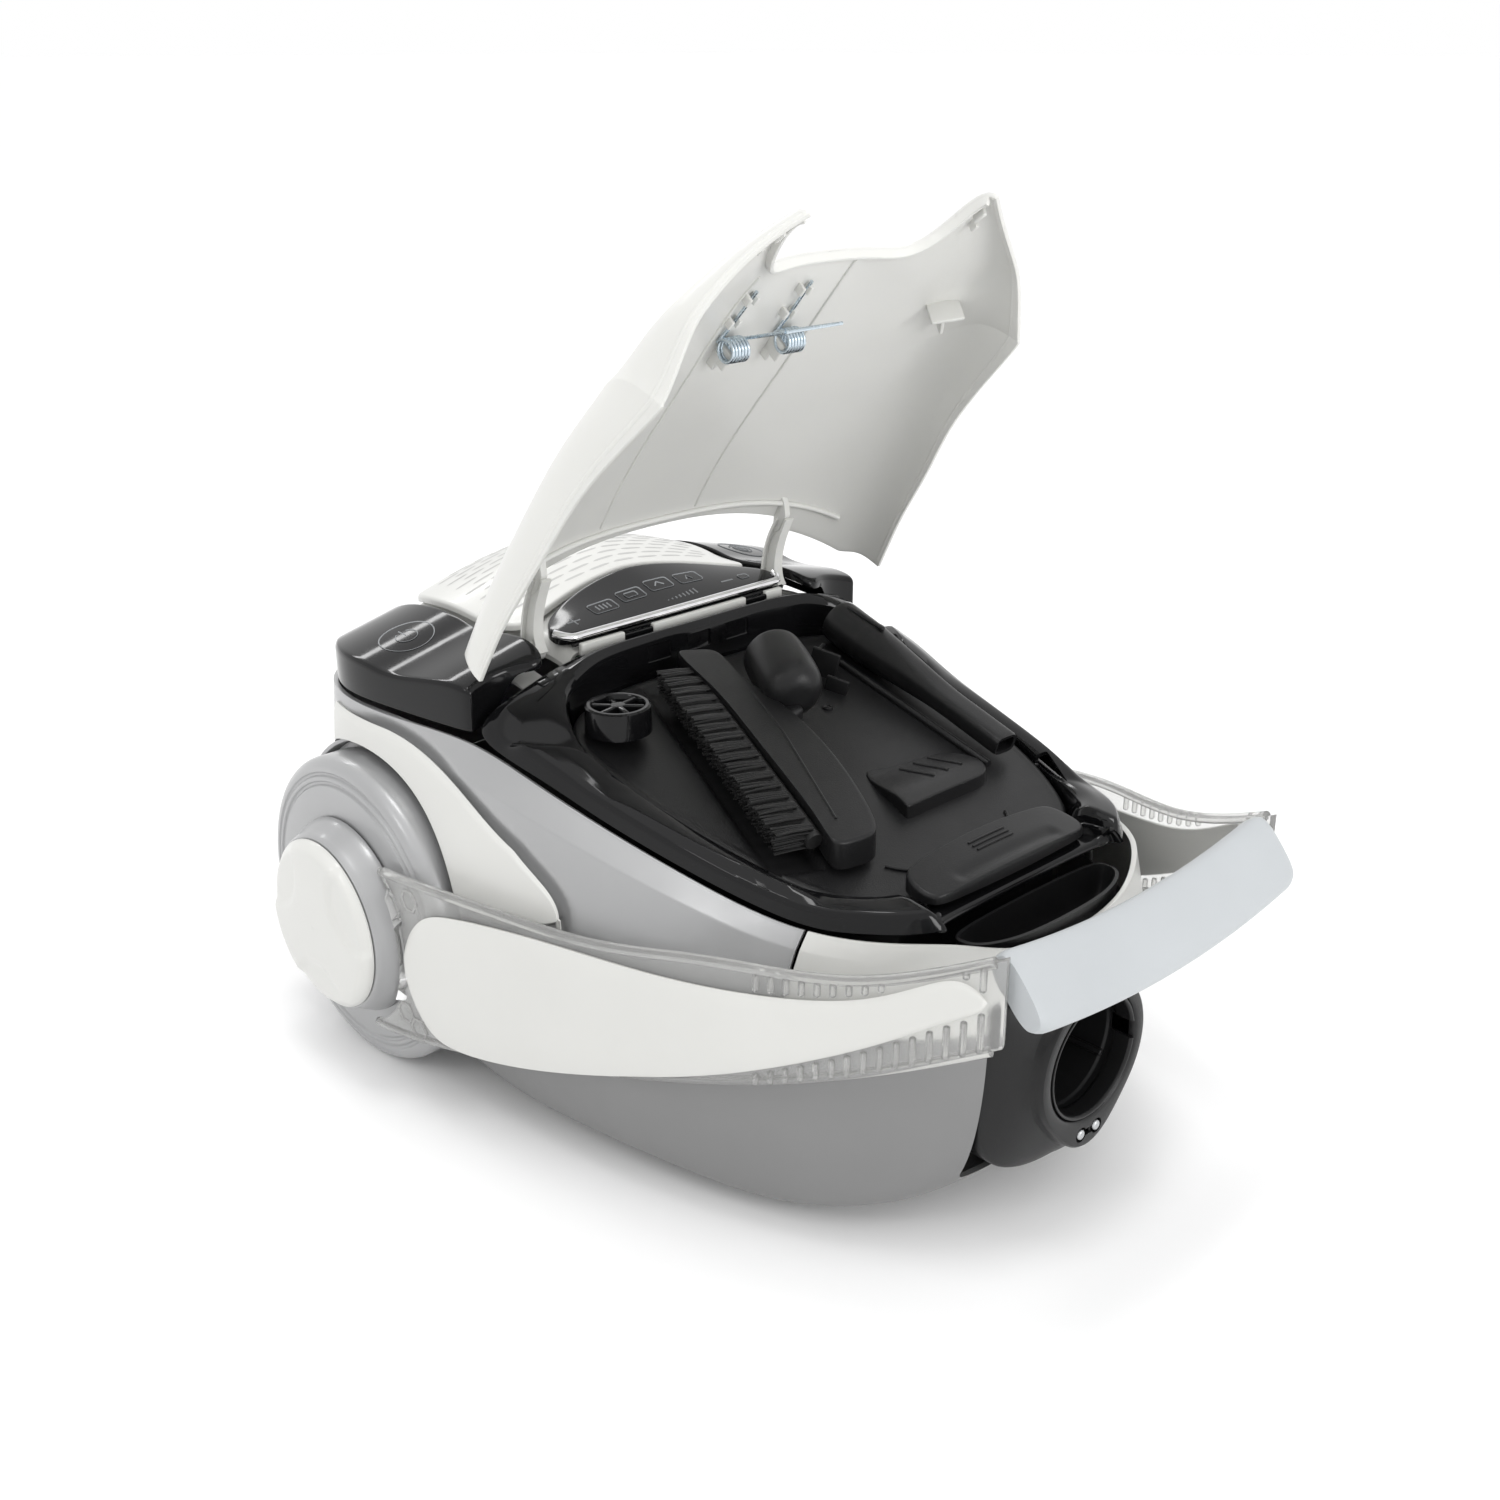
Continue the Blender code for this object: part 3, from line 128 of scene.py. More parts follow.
def shade(obj, degrees=35):
    obj.data.shade_smooth()
    obj.data.set_sharp_from_angle(angle=math.radians(degrees))
    return obj


def fromBmesh(name, bm):
    mesh = bpy.data.meshes.new(name)
    bm.to_mesh(mesh)
    bm.free()
    return shade(addObject(name, mesh))


def tidyNormals(obj, centre=None):
    bm = bmesh.new()
    bm.from_mesh(obj.data)
    bmesh.ops.remove_doubles(bm, verts=bm.verts, dist=0.01 * mm)
    bmesh.ops.recalc_face_normals(bm, faces=bm.faces)
    if centre is not None:
        bm.normal_update()
        middle = Vector(centre)
        score = sum((f.calc_center_median() - middle).dot(f.normal) * f.calc_area()
                    for f in bm.faces)
        if score < 0:
            bmesh.ops.reverse_faces(bm, faces=bm.faces)
    bm.to_mesh(obj.data)
    bm.free()
    return obj


def applyAll(obj):
    # turn the modifiers' result into the object's own mesh
    depsgraph = bpy.context.evaluated_depsgraph_get()
    mesh = bpy.data.meshes.new_from_object(obj.evaluated_get(depsgraph))
    obj.modifiers.clear()
    obj.data = mesh
    return obj


def gridFaces(rowCount, columnCount, closed=False):
    faces = []
    for j in range(rowCount - 1):
        for i in range(columnCount if closed else columnCount - 1):
            n = (i + 1) % columnCount
            faces.append((j * columnCount + i, j * columnCount + n,
                          (j + 1) * columnCount + n, (j + 1) * columnCount + i))
    return faces


def mirrorGrid(grid):
    # the +X half of a grid whose first and last columns lie on x = 0, made whole
    other = grid[:, ::-1].copy()
    other[..., 0] *= -1
    return np.concatenate([other[:, :-1], grid], axis=1)


def softEdge(obj, width, segments, degrees):
    edge = obj.modifiers.new("edge", "BEVEL")
    edge.width = width
    edge.segments = segments
    edge.limit_method = "ANGLE"
    edge.angle_limit = math.radians(degrees)


def thicken(obj, wall, rim=0.0):
    solid = obj.modifiers.new("wall", "SOLIDIFY")
    solid.thickness = wall
    solid.offset = -1
    if rim:
        softEdge(obj, rim, 2, 50)


def gridShell(name, grid, centre, wall, closed=False, rim=0.0):
    # a sheet through a grid of points, with its wall laid on the side towards the centre
    grid = np.asarray(grid)
    obj = newMesh(name, grid.reshape(-1, 3), gridFaces(grid.shape[0], grid.shape[1], closed))
    tidyNormals(obj, centre)
    thicken(obj, wall, rim)
    return obj


def cut(obj, cutters):
    for cutter in cutters:
        knife = obj.modifiers.new("cut", "BOOLEAN")
        knife.operation = "DIFFERENCE"
        knife.object = cutter
    applyAll(obj)
    for cutter in cutters:
        bpy.data.objects.remove(cutter, do_unlink=True)


def block(name, size, centre, bevel=0.0, turn=None, segments=3):
    bm = bmesh.new()
    bmesh.ops.create_cube(bm, size=1)
    bmesh.ops.scale(bm, vec=Vector(size), verts=bm.verts)
    if bevel:
        bmesh.ops.bevel(bm, geom=bm.edges[:], offset=bevel, segments=segments, profile=0.5,
                        affect="EDGES")
    if turn is not None:
        bmesh.ops.transform(bm, matrix=turn.to_4x4(), verts=bm.verts)
    bmesh.ops.translate(bm, vec=Vector(centre), verts=bm.verts)
    return fromBmesh(name, bm)


def drum(name, radius, length, centre, axis, segments=96):
    half = length / 2
    profile = [(0, -half), (radius, -half), (radius, half), (0, half)]
    return lathe(name, profile, centre, axis, segments)


def lathe(name, profile, centre, axis, steps=96):
    # (radius, height) points round a closed loop, turned about an axis through the centre
    turn = Vector((0, 0, 1)).rotation_difference(Vector(axis)).to_matrix()
    verts, rings = [], []
    for radius, height in profile:
        if radius < 1e-7:
            rings.append([len(verts)] * steps)
            verts.append(turn @ Vector((0, 0, height)) + Vector(centre))
            continue
        rings.append(list(range(len(verts), len(verts) + steps)))
        for k in range(steps):
            angle = 2 * math.pi * k / steps
            spot = Vector((radius * math.cos(angle), radius * math.sin(angle), height))
            verts.append(turn @ spot + Vector(centre))
    faces = []
    openEnded = profile[0][0] < 1e-7 and profile[-1][0] < 1e-7
    loop = list(zip(rings, rings[1:]))
    if not openEnded:
        loop.append((rings[-1], rings[0]))
    for a, b in loop:
        for k in range(steps):
            n = (k + 1) % steps
            face = list(dict.fromkeys((a[k], a[n], b[n], b[k])))
            if len(face) > 2:
                faces.append(face)
    return shade(tidyNormals(newMesh(name, verts, faces)))


def turned(name, profile, corner, centre, axis, steps=96):
    # a lathe shape from (radius, height) points in mm, with its corners rounded
    profile = [(r * mm, h * mm) for r, h in profile]
    return lathe(name, roundCorners(profile, corner * mm), centre, axis, steps)


def tube(name, path, radius, segments=16, closed=False, flat=1.0):
    # a round wire along a path, with rounded ends
    path = [Vector(p) for p in path]
    verts, faces, rings = [], [], []
    normal = None
    count = len(path)
    for i, spot in enumerate(path):
        ahead = path[(i + 1) % count] if closed or i < count - 1 else spot
        behind = path[i - 1] if closed or i else spot
        along = (ahead - behind).normalized()
        if normal is None:
            normal = along.orthogonal().normalized()
        normal = (normal - along * normal.dot(along)).normalized()
        side = along.cross(normal)
        rings.append(len(verts))
        for k in range(segments):
            angle = 2 * math.pi * k / segments
            verts.append(spot + (normal * math.cos(angle) + side * math.sin(angle) * flat) * radius)
    for i in range(count if closed else count - 1):
        a, b = rings[i], rings[(i + 1) % count]
        for k in range(segments):
            n = (k + 1) % segments
            faces.append((a + k, a + n, b + n, b + k))
    if not closed:
        faces.append(tuple(rings[0] + k for k in range(segments)))
        faces.append(tuple(rings[-1] + k for k in range(segments)))
    return shade(tidyNormals(newMesh(name, verts, faces)))


def prism(name, outline, low, high, place, bevel=0.0):
    # a flat outline pushed out from low to high; place(u, v, w) says where each point goes
    bm = bmesh.new()
    base = [bm.verts.new((u, v, low)) for u, v in outline]
    face = bm.faces.new(base)
    pushed = bmesh.ops.extrude_face_region(bm, geom=[face])
    moved = [v for v in pushed["geom"] if isinstance(v, bmesh.types.BMVert)]
    bmesh.ops.translate(bm, vec=(0, 0, high - low), verts=moved)
    bmesh.ops.recalc_face_normals(bm, faces=bm.faces)
    if bevel:
        edges = [e for e in bm.edges if len(e.link_faces) == 2
                 and e.calc_face_angle(0) > math.radians(30)]
        bmesh.ops.bevel(bm, geom=edges, offset=bevel, segments=2, profile=0.5, affect="EDGES")
    for v in bm.verts:
        v.co = Vector(place(*v.co))
    bmesh.ops.recalc_face_normals(bm, faces=bm.faces)
    return fromBmesh(name, bm)


def joined(name, objs):
    # several meshes made one, each with its modifiers applied and its materials kept
    for obj in objs:
        if obj.modifiers:
            applyAll(obj)
    bpy.ops.object.select_all(action="DESELECT")
    for obj in objs:
        obj.select_set(True)
    bpy.context.view_layer.objects.active = objs[0]
    bpy.ops.object.join()
    objs[0].name = name
    return objs[0]


def dress(obj, material, body, nodes=(), degrees=35):
    # finish a piece: its material, the body it moves with and the nodes it stands for
    if material is not None:
        obj.data.materials.clear()
        obj.data.materials.append(material)
    if obj.modifiers:
        applyAll(obj)
    shade(obj, degrees)
    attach(obj, body)
    if nodes:
        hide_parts(*nodes)
    return obj


# materials
def newMaterial(name):
    material = bpy.data.materials.new(name)
    material.use_nodes = True
    tree = material.node_tree
    return material, tree, tree.nodes["Principled BSDF"]


def addNoise(tree, scale, detail=3.0, roughness=0.5, stretch=None):
    coords = tree.nodes.new("ShaderNodeTexCoord")
    mapping = tree.nodes.new("ShaderNodeMapping")
    mapping.inputs["Scale"].default_value = stretch or (1, 1, 1)
    noise = tree.nodes.new("ShaderNodeTexNoise")
    noise.inputs["Scale"].default_value = scale
    noise.inputs["Detail"].default_value = detail
    noise.inputs["Roughness"].default_value = roughness
    tree.links.new(coords.outputs["Object"], mapping.inputs["Vector"])
    tree.links.new(mapping.outputs["Vector"], noise.inputs["Vector"])
    return noise.outputs["Fac"]


noiseSpan = (0.3, 0.7)


def ranged(tree, value, low, high):
    node = tree.nodes.new("ShaderNodeMapRange")
    node.inputs["From Min"].default_value = noiseSpan[0]
    node.inputs["From Max"].default_value = noiseSpan[1]
    node.inputs["To Min"].default_value = low
    node.inputs["To Max"].default_value = high
    tree.links.new(value, node.inputs["Value"])
    return node.outputs["Result"]


def blended(tree, value, colourA, colourB):
    ramp = tree.nodes.new("ShaderNodeValToRGB")
    for element, position, colour in zip(ramp.color_ramp.elements, noiseSpan, (colourA, colourB)):
        element.position = position
        element.color = (*colour, 1)
    tree.links.new(value, ramp.inputs["Fac"])
    return ramp.outputs["Color"]


def addBump(tree, shader, height, strength, distance):
    bump = tree.nodes.new("ShaderNodeBump")
    bump.inputs["Strength"].default_value = strength
    bump.inputs["Distance"].default_value = distance
    tree.links.new(height, bump.inputs["Height"])
    tree.links.new(bump.outputs["Normal"], shader.inputs["Normal"])


# shader socket, its name in a look, and its value where a look leaves it out
plasticSockets = (("Metallic", "metallic", 0.0), ("Coat Weight", "coat", 0.0),
                  ("Coat Roughness", "coatRoughness", 0.1), ("IOR", "ior", 1.5),
                  ("Specular IOR Level", "specular", 0.5), ("Sheen Weight", "sheen", 0.0),
                  ("Transmission Weight", "clear", 0.0), ("Subsurface Weight", "soft", 0.0))


def plastic(name, look):
    # moulded plastic: slow tone drift, fine grain in the gloss and in the surface
    material, tree, shader = newMaterial(name)
    tone = np.array(look["colour"])
    drift = look.get("drift", 0.03)
    slow = addNoise(tree, look.get("driftScale", 14), 4)
    tree.links.new(blended(tree, slow, tone * (1 - drift), np.minimum(tone * (1 + drift), 1)),
                   shader.inputs["Base Color"])
    rough, smear = look["roughness"], look.get("smear", 0.12)
    patches = addNoise(tree, look.get("smearScale", 60), 6, 0.65)
    tree.links.new(ranged(tree, patches, rough * (1 - smear), rough * (1 + smear)),
                   shader.inputs["Roughness"])
    grain = addNoise(tree, look.get("grainScale", 900), 2, 0.6)
    addBump(tree, shader, grain, look.get("grain", 0.04), look.get("grainDepth", 0.0004))
    for socket, key, usual in plasticSockets:
        shader.inputs[socket].default_value = look.get(key, usual)
    if look.get("soft"):
        shader.inputs["Subsurface Radius"].default_value = (0.004, 0.004, 0.003)
    return material


looks = {
    "silverPaint": {"colour": (0.36, 0.362, 0.366), "roughness": 0.34, "metallic": 0.3,
                    "coat": 0.35, "grain": 0.05, "grainScale": 1600, "drift": 0.03},
    # darker copy of the silver paint for the lower shell: the darkness is painted shade, the paint
    # itself is the same as silverPaint
    "silverPaintShaded": {"colour": (0.205, 0.205, 0.205), "roughness": 0.36, "metallic": 0.3,
                  "coat": 0.25, "grain": 0.05, "grainScale": 1600, "drift": 0.03},
    "whiteGloss": {"colour": (0.62, 0.62, 0.597), "roughness": 0.32, "coat": 0.2,
                   "grain": 0.03, "drift": 0.015},
    "lidWhite": {"colour": (0.66, 0.66, 0.635), "roughness": 0.38, "coat": 0.12, "soft": 0.06,
                 "grain": 0.05, "grainScale": 700, "drift": 0.015},
    "pianoBlack": {"colour": (0.005, 0.005, 0.0055), "roughness": 0.1, "coat": 0.1,
                   "coatRoughness": 0.04, "specular": 0.22, "grain": 0.012, "grainScale": 300,
                   "smear": 0.35},
    "satinBlack": {"colour": (0.009, 0.009, 0.0095), "roughness": 0.36, "grain": 0.3,
                   "specular": 0.28, "grainScale": 1500, "grainDepth": 0.0003, "drift": 0.1},
    "bezelBlack": {"colour": (0.010, 0.010, 0.0105), "roughness": 0.33, "grain": 0.25,
                   "specular": 0.3, "grainScale": 1800, "drift": 0.08},
    "clearPlastic": {"colour": (0.93, 0.93, 0.92), "roughness": 0.16, "clear": 0.88,
                     "ior": 1.42, "grain": 0.06, "grainScale": 500},
    "gripSoft": {"colour": (0.42, 0.44, 0.455), "roughness": 0.46, "grain": 0.14,
                 "grainScale": 1400, "sheen": 0.1, "drift": 0.03},
    "rubberBlack": {"colour": (0.028, 0.028, 0.028), "roughness": 0.75, "grain": 0.3,
                    "grainScale": 900},
    "bristleBlack": {"colour": (0.012, 0.012, 0.012), "roughness": 0.55, "grain": 0.1},
    "boardGreen": {"colour": (0.03, 0.16, 0.07), "roughness": 0.45, "drift": 0.2},
    "filterCloth": {"colour": (0.8, 0.79, 0.73), "roughness": 0.9, "grain": 0.5,
                    "grainScale": 700, "sheen": 0.3},
    "iconGrey": {"colour": (0.22, 0.23, 0.24), "roughness": 0.4, "grain": 0.03},
    # grey for the grille slots: painted shade standing in for the inside of the openings
    "slotShadeGrey": {"colour": (0.46, 0.46, 0.45), "roughness": 0.6, "grain": 0.1},
}
finish = {name: plastic(name, look) for name, look in looks.items()}


def metal(name, colour, roughness, streak=(1, 1, 1), scale=300, depth=0.1):
    material, tree, shader = newMaterial(name)
    tone = np.array(colour)
    wear = addNoise(tree, scale, 5, 0.6, streak)
    tree.links.new(blended(tree, wear, tone * 0.9, np.minimum(tone * 1.08, 1)),
                   shader.inputs["Base Color"])
    tree.links.new(ranged(tree, wear, roughness * 0.75, roughness * 1.3),
                   shader.inputs["Roughness"])
    addBump(tree, shader, wear, depth, 0.2 * mm)
    shader.inputs["Metallic"].default_value = 1.0
    return material


finish["chromePlate"] = metal("chromePlate", (0.82, 0.82, 0.83), 0.07, scale=120, depth=0.03)
finish["zincWire"] = metal("zincWire", (0.58, 0.66, 0.72), 0.25, scale=500)
finish["turnedSteel"] = metal("turnedSteel", (0.55, 0.56, 0.57), 0.3, (1, 30, 30))
finish["castAlloy"] = metal("castAlloy", (0.48, 0.48, 0.49), 0.42, scale=200, depth=0.2)
print("materials made:", len(finish))

# camera: three-quarter view from the front left, looking down
cameraSpec = {"place": (-0.54484, -0.54928, 0.48434), "heading": 46.29, "pitch": -22.42,
              "lens": 41.31}
cameraData = bpy.data.cameras.new("camera")
cameraData.lens = cameraSpec["lens"]
cameraData.sensor_width = 36
camera = addObject("camera", cameraData)
camera.location = cameraSpec["place"]
camera.rotation_euler = (math.radians(90 + cameraSpec["pitch"]), 0,
                         math.radians(cameraSpec["heading"] - 90))
bpy.context.scene.camera = camera

# floor and soft studio light
studio = {"floorTone": 0.90, "floorHalf": 60, "skyTone": 1.0, "skyStrength": 1.0, "sunPower": 0.4,
          "sunAngle": 70}
edgeAt = studio["floorHalf"]
floor = newMesh("floor", [(-edgeAt, -edgeAt, 0), (edgeAt, -edgeAt, 0), (edgeAt, edgeAt, 0),
                          (-edgeAt, edgeAt, 0)], [(0, 1, 2, 3)])
finish["floorPaper"] = plastic("floorPaper", {"colour": (studio["floorTone"],) * 3,
                                              "roughness": 0.85, "grain": 0.0, "drift": 0.004})
floor.data.materials.append(finish["floorPaper"])
world = bpy.data.worlds.new("studioSky")
bpy.context.scene.world = world
world.use_nodes = True
sky = world.node_tree.nodes["Background"]
sky.inputs["Color"].default_value = (studio["skyTone"],) * 3 + (1,)
sky.inputs["Strength"].default_value = studio["skyStrength"]


def softLight(name, place, aim, size, power, sizeY=None):
    data = bpy.data.lights.new(name, "AREA")
    data.energy = power
    data.shape = "RECTANGLE"
    data.size = size
    data.size_y = sizeY or size
    lamp = addObject(name, data)
    lamp.location = place
    lamp.rotation_euler = (Vector(aim) - Vector(place)).to_track_quat("-Z", "Y").to_euler()


softLight("overhead", (-0.2, 0.1, 2.2), (0, 0, 0.1), 0.5, 7)
softLight("leftBank", (-2.0, 0.2, 1.5), (0, 0, 0.15), 0.4, 3)
softLight("frontBank", (0.2, -2.0, 0.7), (0, 0, 0.3), 0.7, 12)
softLight("rearBank", (0.6, 2.0, 1.6), (0, 0, 0.2), 1.6, 6, 0.16)
sunData = bpy.data.lights.new("evenSun", "SUN")
sunData.energy = studio["sunPower"]
sunData.angle = math.radians(studio["sunAngle"])
sun = addObject("evenSun", sunData)
sun.rotation_euler = (math.radians(12), math.radians(-18), 0)
bpy.context.scene.view_settings.view_transform = "Standard"
print("stage ready")


# body side curves, from the front middle round the +X side to the rear middle
axle = Vector((0, 142, 80)) * mm
panPoints = points((0, -152, 22), (40, -150, 20), (72, -142, 17), (94, -122, 14), (108, -90, 11),
                   (118, -50, 11), (126, -8, 11), (131, 42, 11), (130, 92, 16), (124, 142, 22),
                   (110, 180, 28), (86, 206, 34), (46, 220, 38), (0, 224, 40))
beltPoints = points((0, -187, 108), (38, -183, 108), (70, -168, 108), (94, -142, 108),
                    (112, -108, 108), (130, -58, 108), (140, -8, 108), (146.5, 42, 108),
                    (149, 92, 108), (148, 142, 108), (140, 180, 108), (118, 208, 108),
                    (66, 226, 108), (0, 231, 108))
seamPoints = points((0, -180, 138), (36, -177, 141), (60, -167, 147), (80, -148, 148),
                    (99, -110, 148), (112, -60, 157), (120.5, -10, 168), (127, 32, 179),
                    (131, 74, 186), (138, 124, 186), (138, 168, 186), (118, 204, 186),
                    (66, 225, 186), (0, 230, 186))
bodyLook = {"stations": 220, "lowerRows": 46, "upperRows": 44, "wall": 2.4 * mm, "gap": 0.25 * mm,
            "creaseRise": 0.80, "creaseHeight": 2.0 * mm, "channelDepth": 2.6 * mm,
            "channelWidth": 7.5 * mm, "cowlStart": -112 * mm, "archRadius": 86 * mm,
            "archWidth": 61 * mm, "archX": 155.7 * mm}
panLine = softCurve(panPoints, bodyLook["stations"], mirrored=True)
beltLine = softCurve(beltPoints, bodyLook["stations"], mirrored=True)
seamLine = softCurve(seamPoints, bodyLook["stations"], mirrored=True)
bodyCentre = (0, 0.03, 0.11)
outletSpot = (0.062, 0.224, 0.084)


def bodySide(rise):
    # the side at a height: 0 at the pan, 1 at the belt and 2 at the deck seam
    if rise <= 1:
        angle = rise * math.pi / 2
        across, up = math.sin(angle) ** 0.8, 1 - math.cos(angle) ** 0.9
        row = mix(panLine, beltLine, across)
        row[:, 2] = mix(panLine[:, 2], beltLine[:, 2], up)
        return row
    lift = rise - 1
    row = mix(beltLine, seamLine, lift ** 1.5)
    row[:, 2] = mix(beltLine[:, 2], seamLine[:, 2], lift)
    return row


def outwards(grid):
    # unit normals of a grid, pointing away from the body's middle
    along = np.gradient(grid, axis=1)
    up = np.gradient(grid, axis=0)
    normal = np.cross(along, up)
    normal /= np.maximum(np.linalg.norm(normal, axis=2, keepdims=True), 1e-12)
    away = grid - np.array(bodyCentre)
    flip = np.sign(np.sum(normal * away, axis=2, keepdims=True))
    return normal * flip


def insetTop(y):
    nose = math.sqrt(max(0.0, min(1.0, (y + 4 * mm) / (34 * mm))))
    return 1 + mix(0.52, 0.90, float(ease(10 * mm, 130 * mm, y))) * max(nose, 0.02) ** 0.4, nose


def insetEdge():
    # outline of the white side panel as (y, rise) pairs, nose first along its top
    edge = []
    for k in range(61):
        y = mix(-3.9 * mm, 176 * mm, (k / 60) ** 1.6)
        edge.append((y, insetTop(y)[0]))
    lower = [(y, min(mix(1.30, 1.06, insetTop(y)[1]), top - 0.004)) for y, top in edge[::-1]]
    return edge, lower


insetUpper, insetLower = insetEdge()


def seamHeight(y):
    return alongY(seamLine, y, 2)


def insetDistance(y, z):
    # distance in side view to the white panel's top and nose outline
    path = np.array([(py, mix(0.108, seamHeight(py), rise - 1))
                     for py, rise in insetLower[-22:] + insetUpper])
    a, b = path[:-1], path[1:]
    spot = np.stack([y, z], axis=-1)[..., None, :]
    run = b - a
    t = np.clip(np.sum((spot - a) * run, axis=-1) / np.maximum(np.sum(run * run, axis=-1), 1e-12),
                0, 1)
    return np.min(np.linalg.norm(spot - (a + run * t[..., None]), axis=-1), axis=-1)


def wheelKnife(sign):
    return drum("knife", bodyLook["archRadius"], bodyLook["archWidth"],
                (sign * bodyLook["archX"], axle.y, axle.z), (1, 0, 0), 160)


bowLook = {"height": 0.052, "climb": 0.010, "spread": 0.011, "depth": 0.9 * mm}
finLook = {"count": 3, "size": (3.4 * mm, 4.2 * mm, 30 * mm), "firstX": 138.6, "stepX": 1.9,
           "firstY": 47, "stepY": 11, "z": 0.043, "yaw": 4, "lean": -28}


def makeLowerShell():
    rises = np.concatenate([[0], np.linspace(0.012, 1, bodyLook["lowerRows"])])
    grid = np.array([bodySide(r) for r in rises])
    grid[-1][:, 2] -= bodyLook["gap"]
    # a soft raised bow line along the side, low at the front and fading to the wheel
    normal = outwards(grid)
    y, z = grid[..., 1], grid[..., 2]
    line = bowLook["height"] + bowLook["climb"] * ease(-0.15, 0.02, y)
    swell = np.exp(-((z - line) / bowLook["spread"]) ** 2)
    swell = swell * ease(0.075, 0.01, y) * ease(-0.165, -0.12, y)
    grid += normal * swell[..., None] * bowLook["depth"]
    floorRow = grid[0].copy()
    floorRow[:, 0] = 0
    grid = np.concatenate([[floorRow], grid])
    shell = gridShell("lowerShell", mirrorGrid(grid), bodyCentre, bodyLook["wall"])
    knives = [block("knife", (0.108, 0.09, 0.114), (0, -0.178, 0.0855), 5 * mm, segments=5),
              drum("knife", 9.6 * mm, 30 * mm, outletSpot, (0, 1, 0), 64),
              drum("knife", 22 * mm, 60 * mm, (0, -0.092, 0.026), (0, 0, 1), 96)]
    knives += [wheelKnife(sign) for _, sign in sides]
    cut(shell, knives)
    fins = []
    for _, sign in sides:
        turn = (Matrix.Rotation(math.radians(-sign * finLook["yaw"]), 3, "Z")
                @ Matrix.Rotation(math.radians(finLook["lean"]), 3, "X"))
        for k in range(finLook["count"]):
            x = sign * (finLook["firstX"] - finLook["stepX"] * k) * mm
            y = (finLook["firstY"] - finLook["stepY"] * k) * mm
            fins.append(block("fin", finLook["size"], (x, y, finLook["z"]), 1.2 * mm, turn))
    shell = joined("lowerShell", [shell] + fins)
    # the lower shell takes the darker copy of the silver paint: painted shade where the body faces
    # down towards the floor
    return dress(shell, finish["silverPaintShaded"], "chassis", ["lower_shell"])


def upperGrid(first, last):
    lift = np.linspace(0, 1, bodyLook["upperRows"] * 2)
    grid = np.array([bodySide(1 + t * 0.985) for t in lift])
    grid[0][:, 2] += bodyLook["gap"]
    normal = outwards(grid)
    y, z = grid[..., 1], grid[..., 2]
    rise = np.repeat(lift[:, None], grid.shape[1], axis=1)
    # crisp crease under the deck, with a flat band above it
    crease = bodyLook["creaseRise"]
    below = np.clip((rise - 0.5) / (crease - 0.5), 0, 1) ** 2
    above = np.clip((0.985 - rise) / (0.985 - crease), 0, 1)
    ridge = np.where(rise < crease, below, above) * ease(0.11, 0.06, y) * ease(-0.15, -0.08, y)
    grid += normal * ridge[..., None] * bodyLook["creaseHeight"]
    # channel round the white panel
    distance = insetDistance(y, z)
    width = bodyLook["channelWidth"]
    dip = np.clip(1 - distance / width, 0, 1)
    dip = dip * dip * (3 - 2 * dip) * ease(0.165, 0.13, y)
    grid -= normal * dip[..., None] * bodyLook["channelDepth"]
    return grid[:, first:last]


def makeUpperShell():
    start = int(np.argmax(beltLine[:, 1] > bodyLook["cowlStart"]))
    grid = upperGrid(start, None)
    shell = gridShell("upperShell", mirrorGrid(grid[:, ::-1])[:, ::-1], bodyCentre,
                      bodyLook["wall"], rim=0.5 * mm)
    cut(shell, [wheelKnife(sign) for _, sign in sides])
    dress(shell, finish["silverPaint"], "chassis", ["upper_shell"])
    cowlGrid = upperGrid(0, start + 1)
    cowlGrid[:, -1] = mix(cowlGrid[:, -1], cowlGrid[:, -2], 0.6)
    cowl = gridShell("frontCowl", mirrorGrid(cowlGrid), bodyCentre, bodyLook["wall"], rim=0.5 * mm)
    cut(cowl, [block("knife", (0.108, 0.09, 0.07), (0, -0.178, 0.086), 5 * mm, segments=5)])
    dress(cowl, finish["whiteGloss"], "chassis", ["front_cowl"])


def makeSideInsets():
    for side, sign in sides:
        rows = []
        for k in range(40):
            row = []
            for (y, top), (_, low) in zip(insetUpper, insetLower[::-1]):
                rise = mix(low, top, k / 39)
                row.append((y, rise))
            rows.append(row)
        grid = []
        edgeDrop = 1.3 * mm
        for k, row in enumerate(rows):
            line = []
            for i, (y, rise) in enumerate(row):
                lift = min(rise - 1, 0.985)
                x = mix(alongY(beltLine, y, 0), alongY(seamLine, y, 0), lift ** 1.5)
                z = mix(0.108, float(seamHeight(y)), lift)
                margin = min(k, 39 - k, i * 1.5) / 3
                proud = 2.3 * mm - edgeDrop * (1 - min(1.0, margin)) ** 2
                line.append((sign * (x + proud), y, z + 0.5 * mm))
            grid.append(line)
        panel = gridShell(f"sideInset_{side}", grid, bodyCentre, 1.4 * mm)
        cut(panel, [wheelKnife(sign)])
        dress(panel, finish["whiteGloss"], "chassis", [f"side_inset_{side}"])


makeLowerShell()
makeUpperShell()
makeSideInsets()
print("body shells made")


# running gear
wheelLook = {"radius": 80 * mm, "inner": 133 * mm, "outer": 159 * mm,
             "cap": 43.7 * mm, "capInner": 174.8 * mm, "capOuter": 182 * mm}


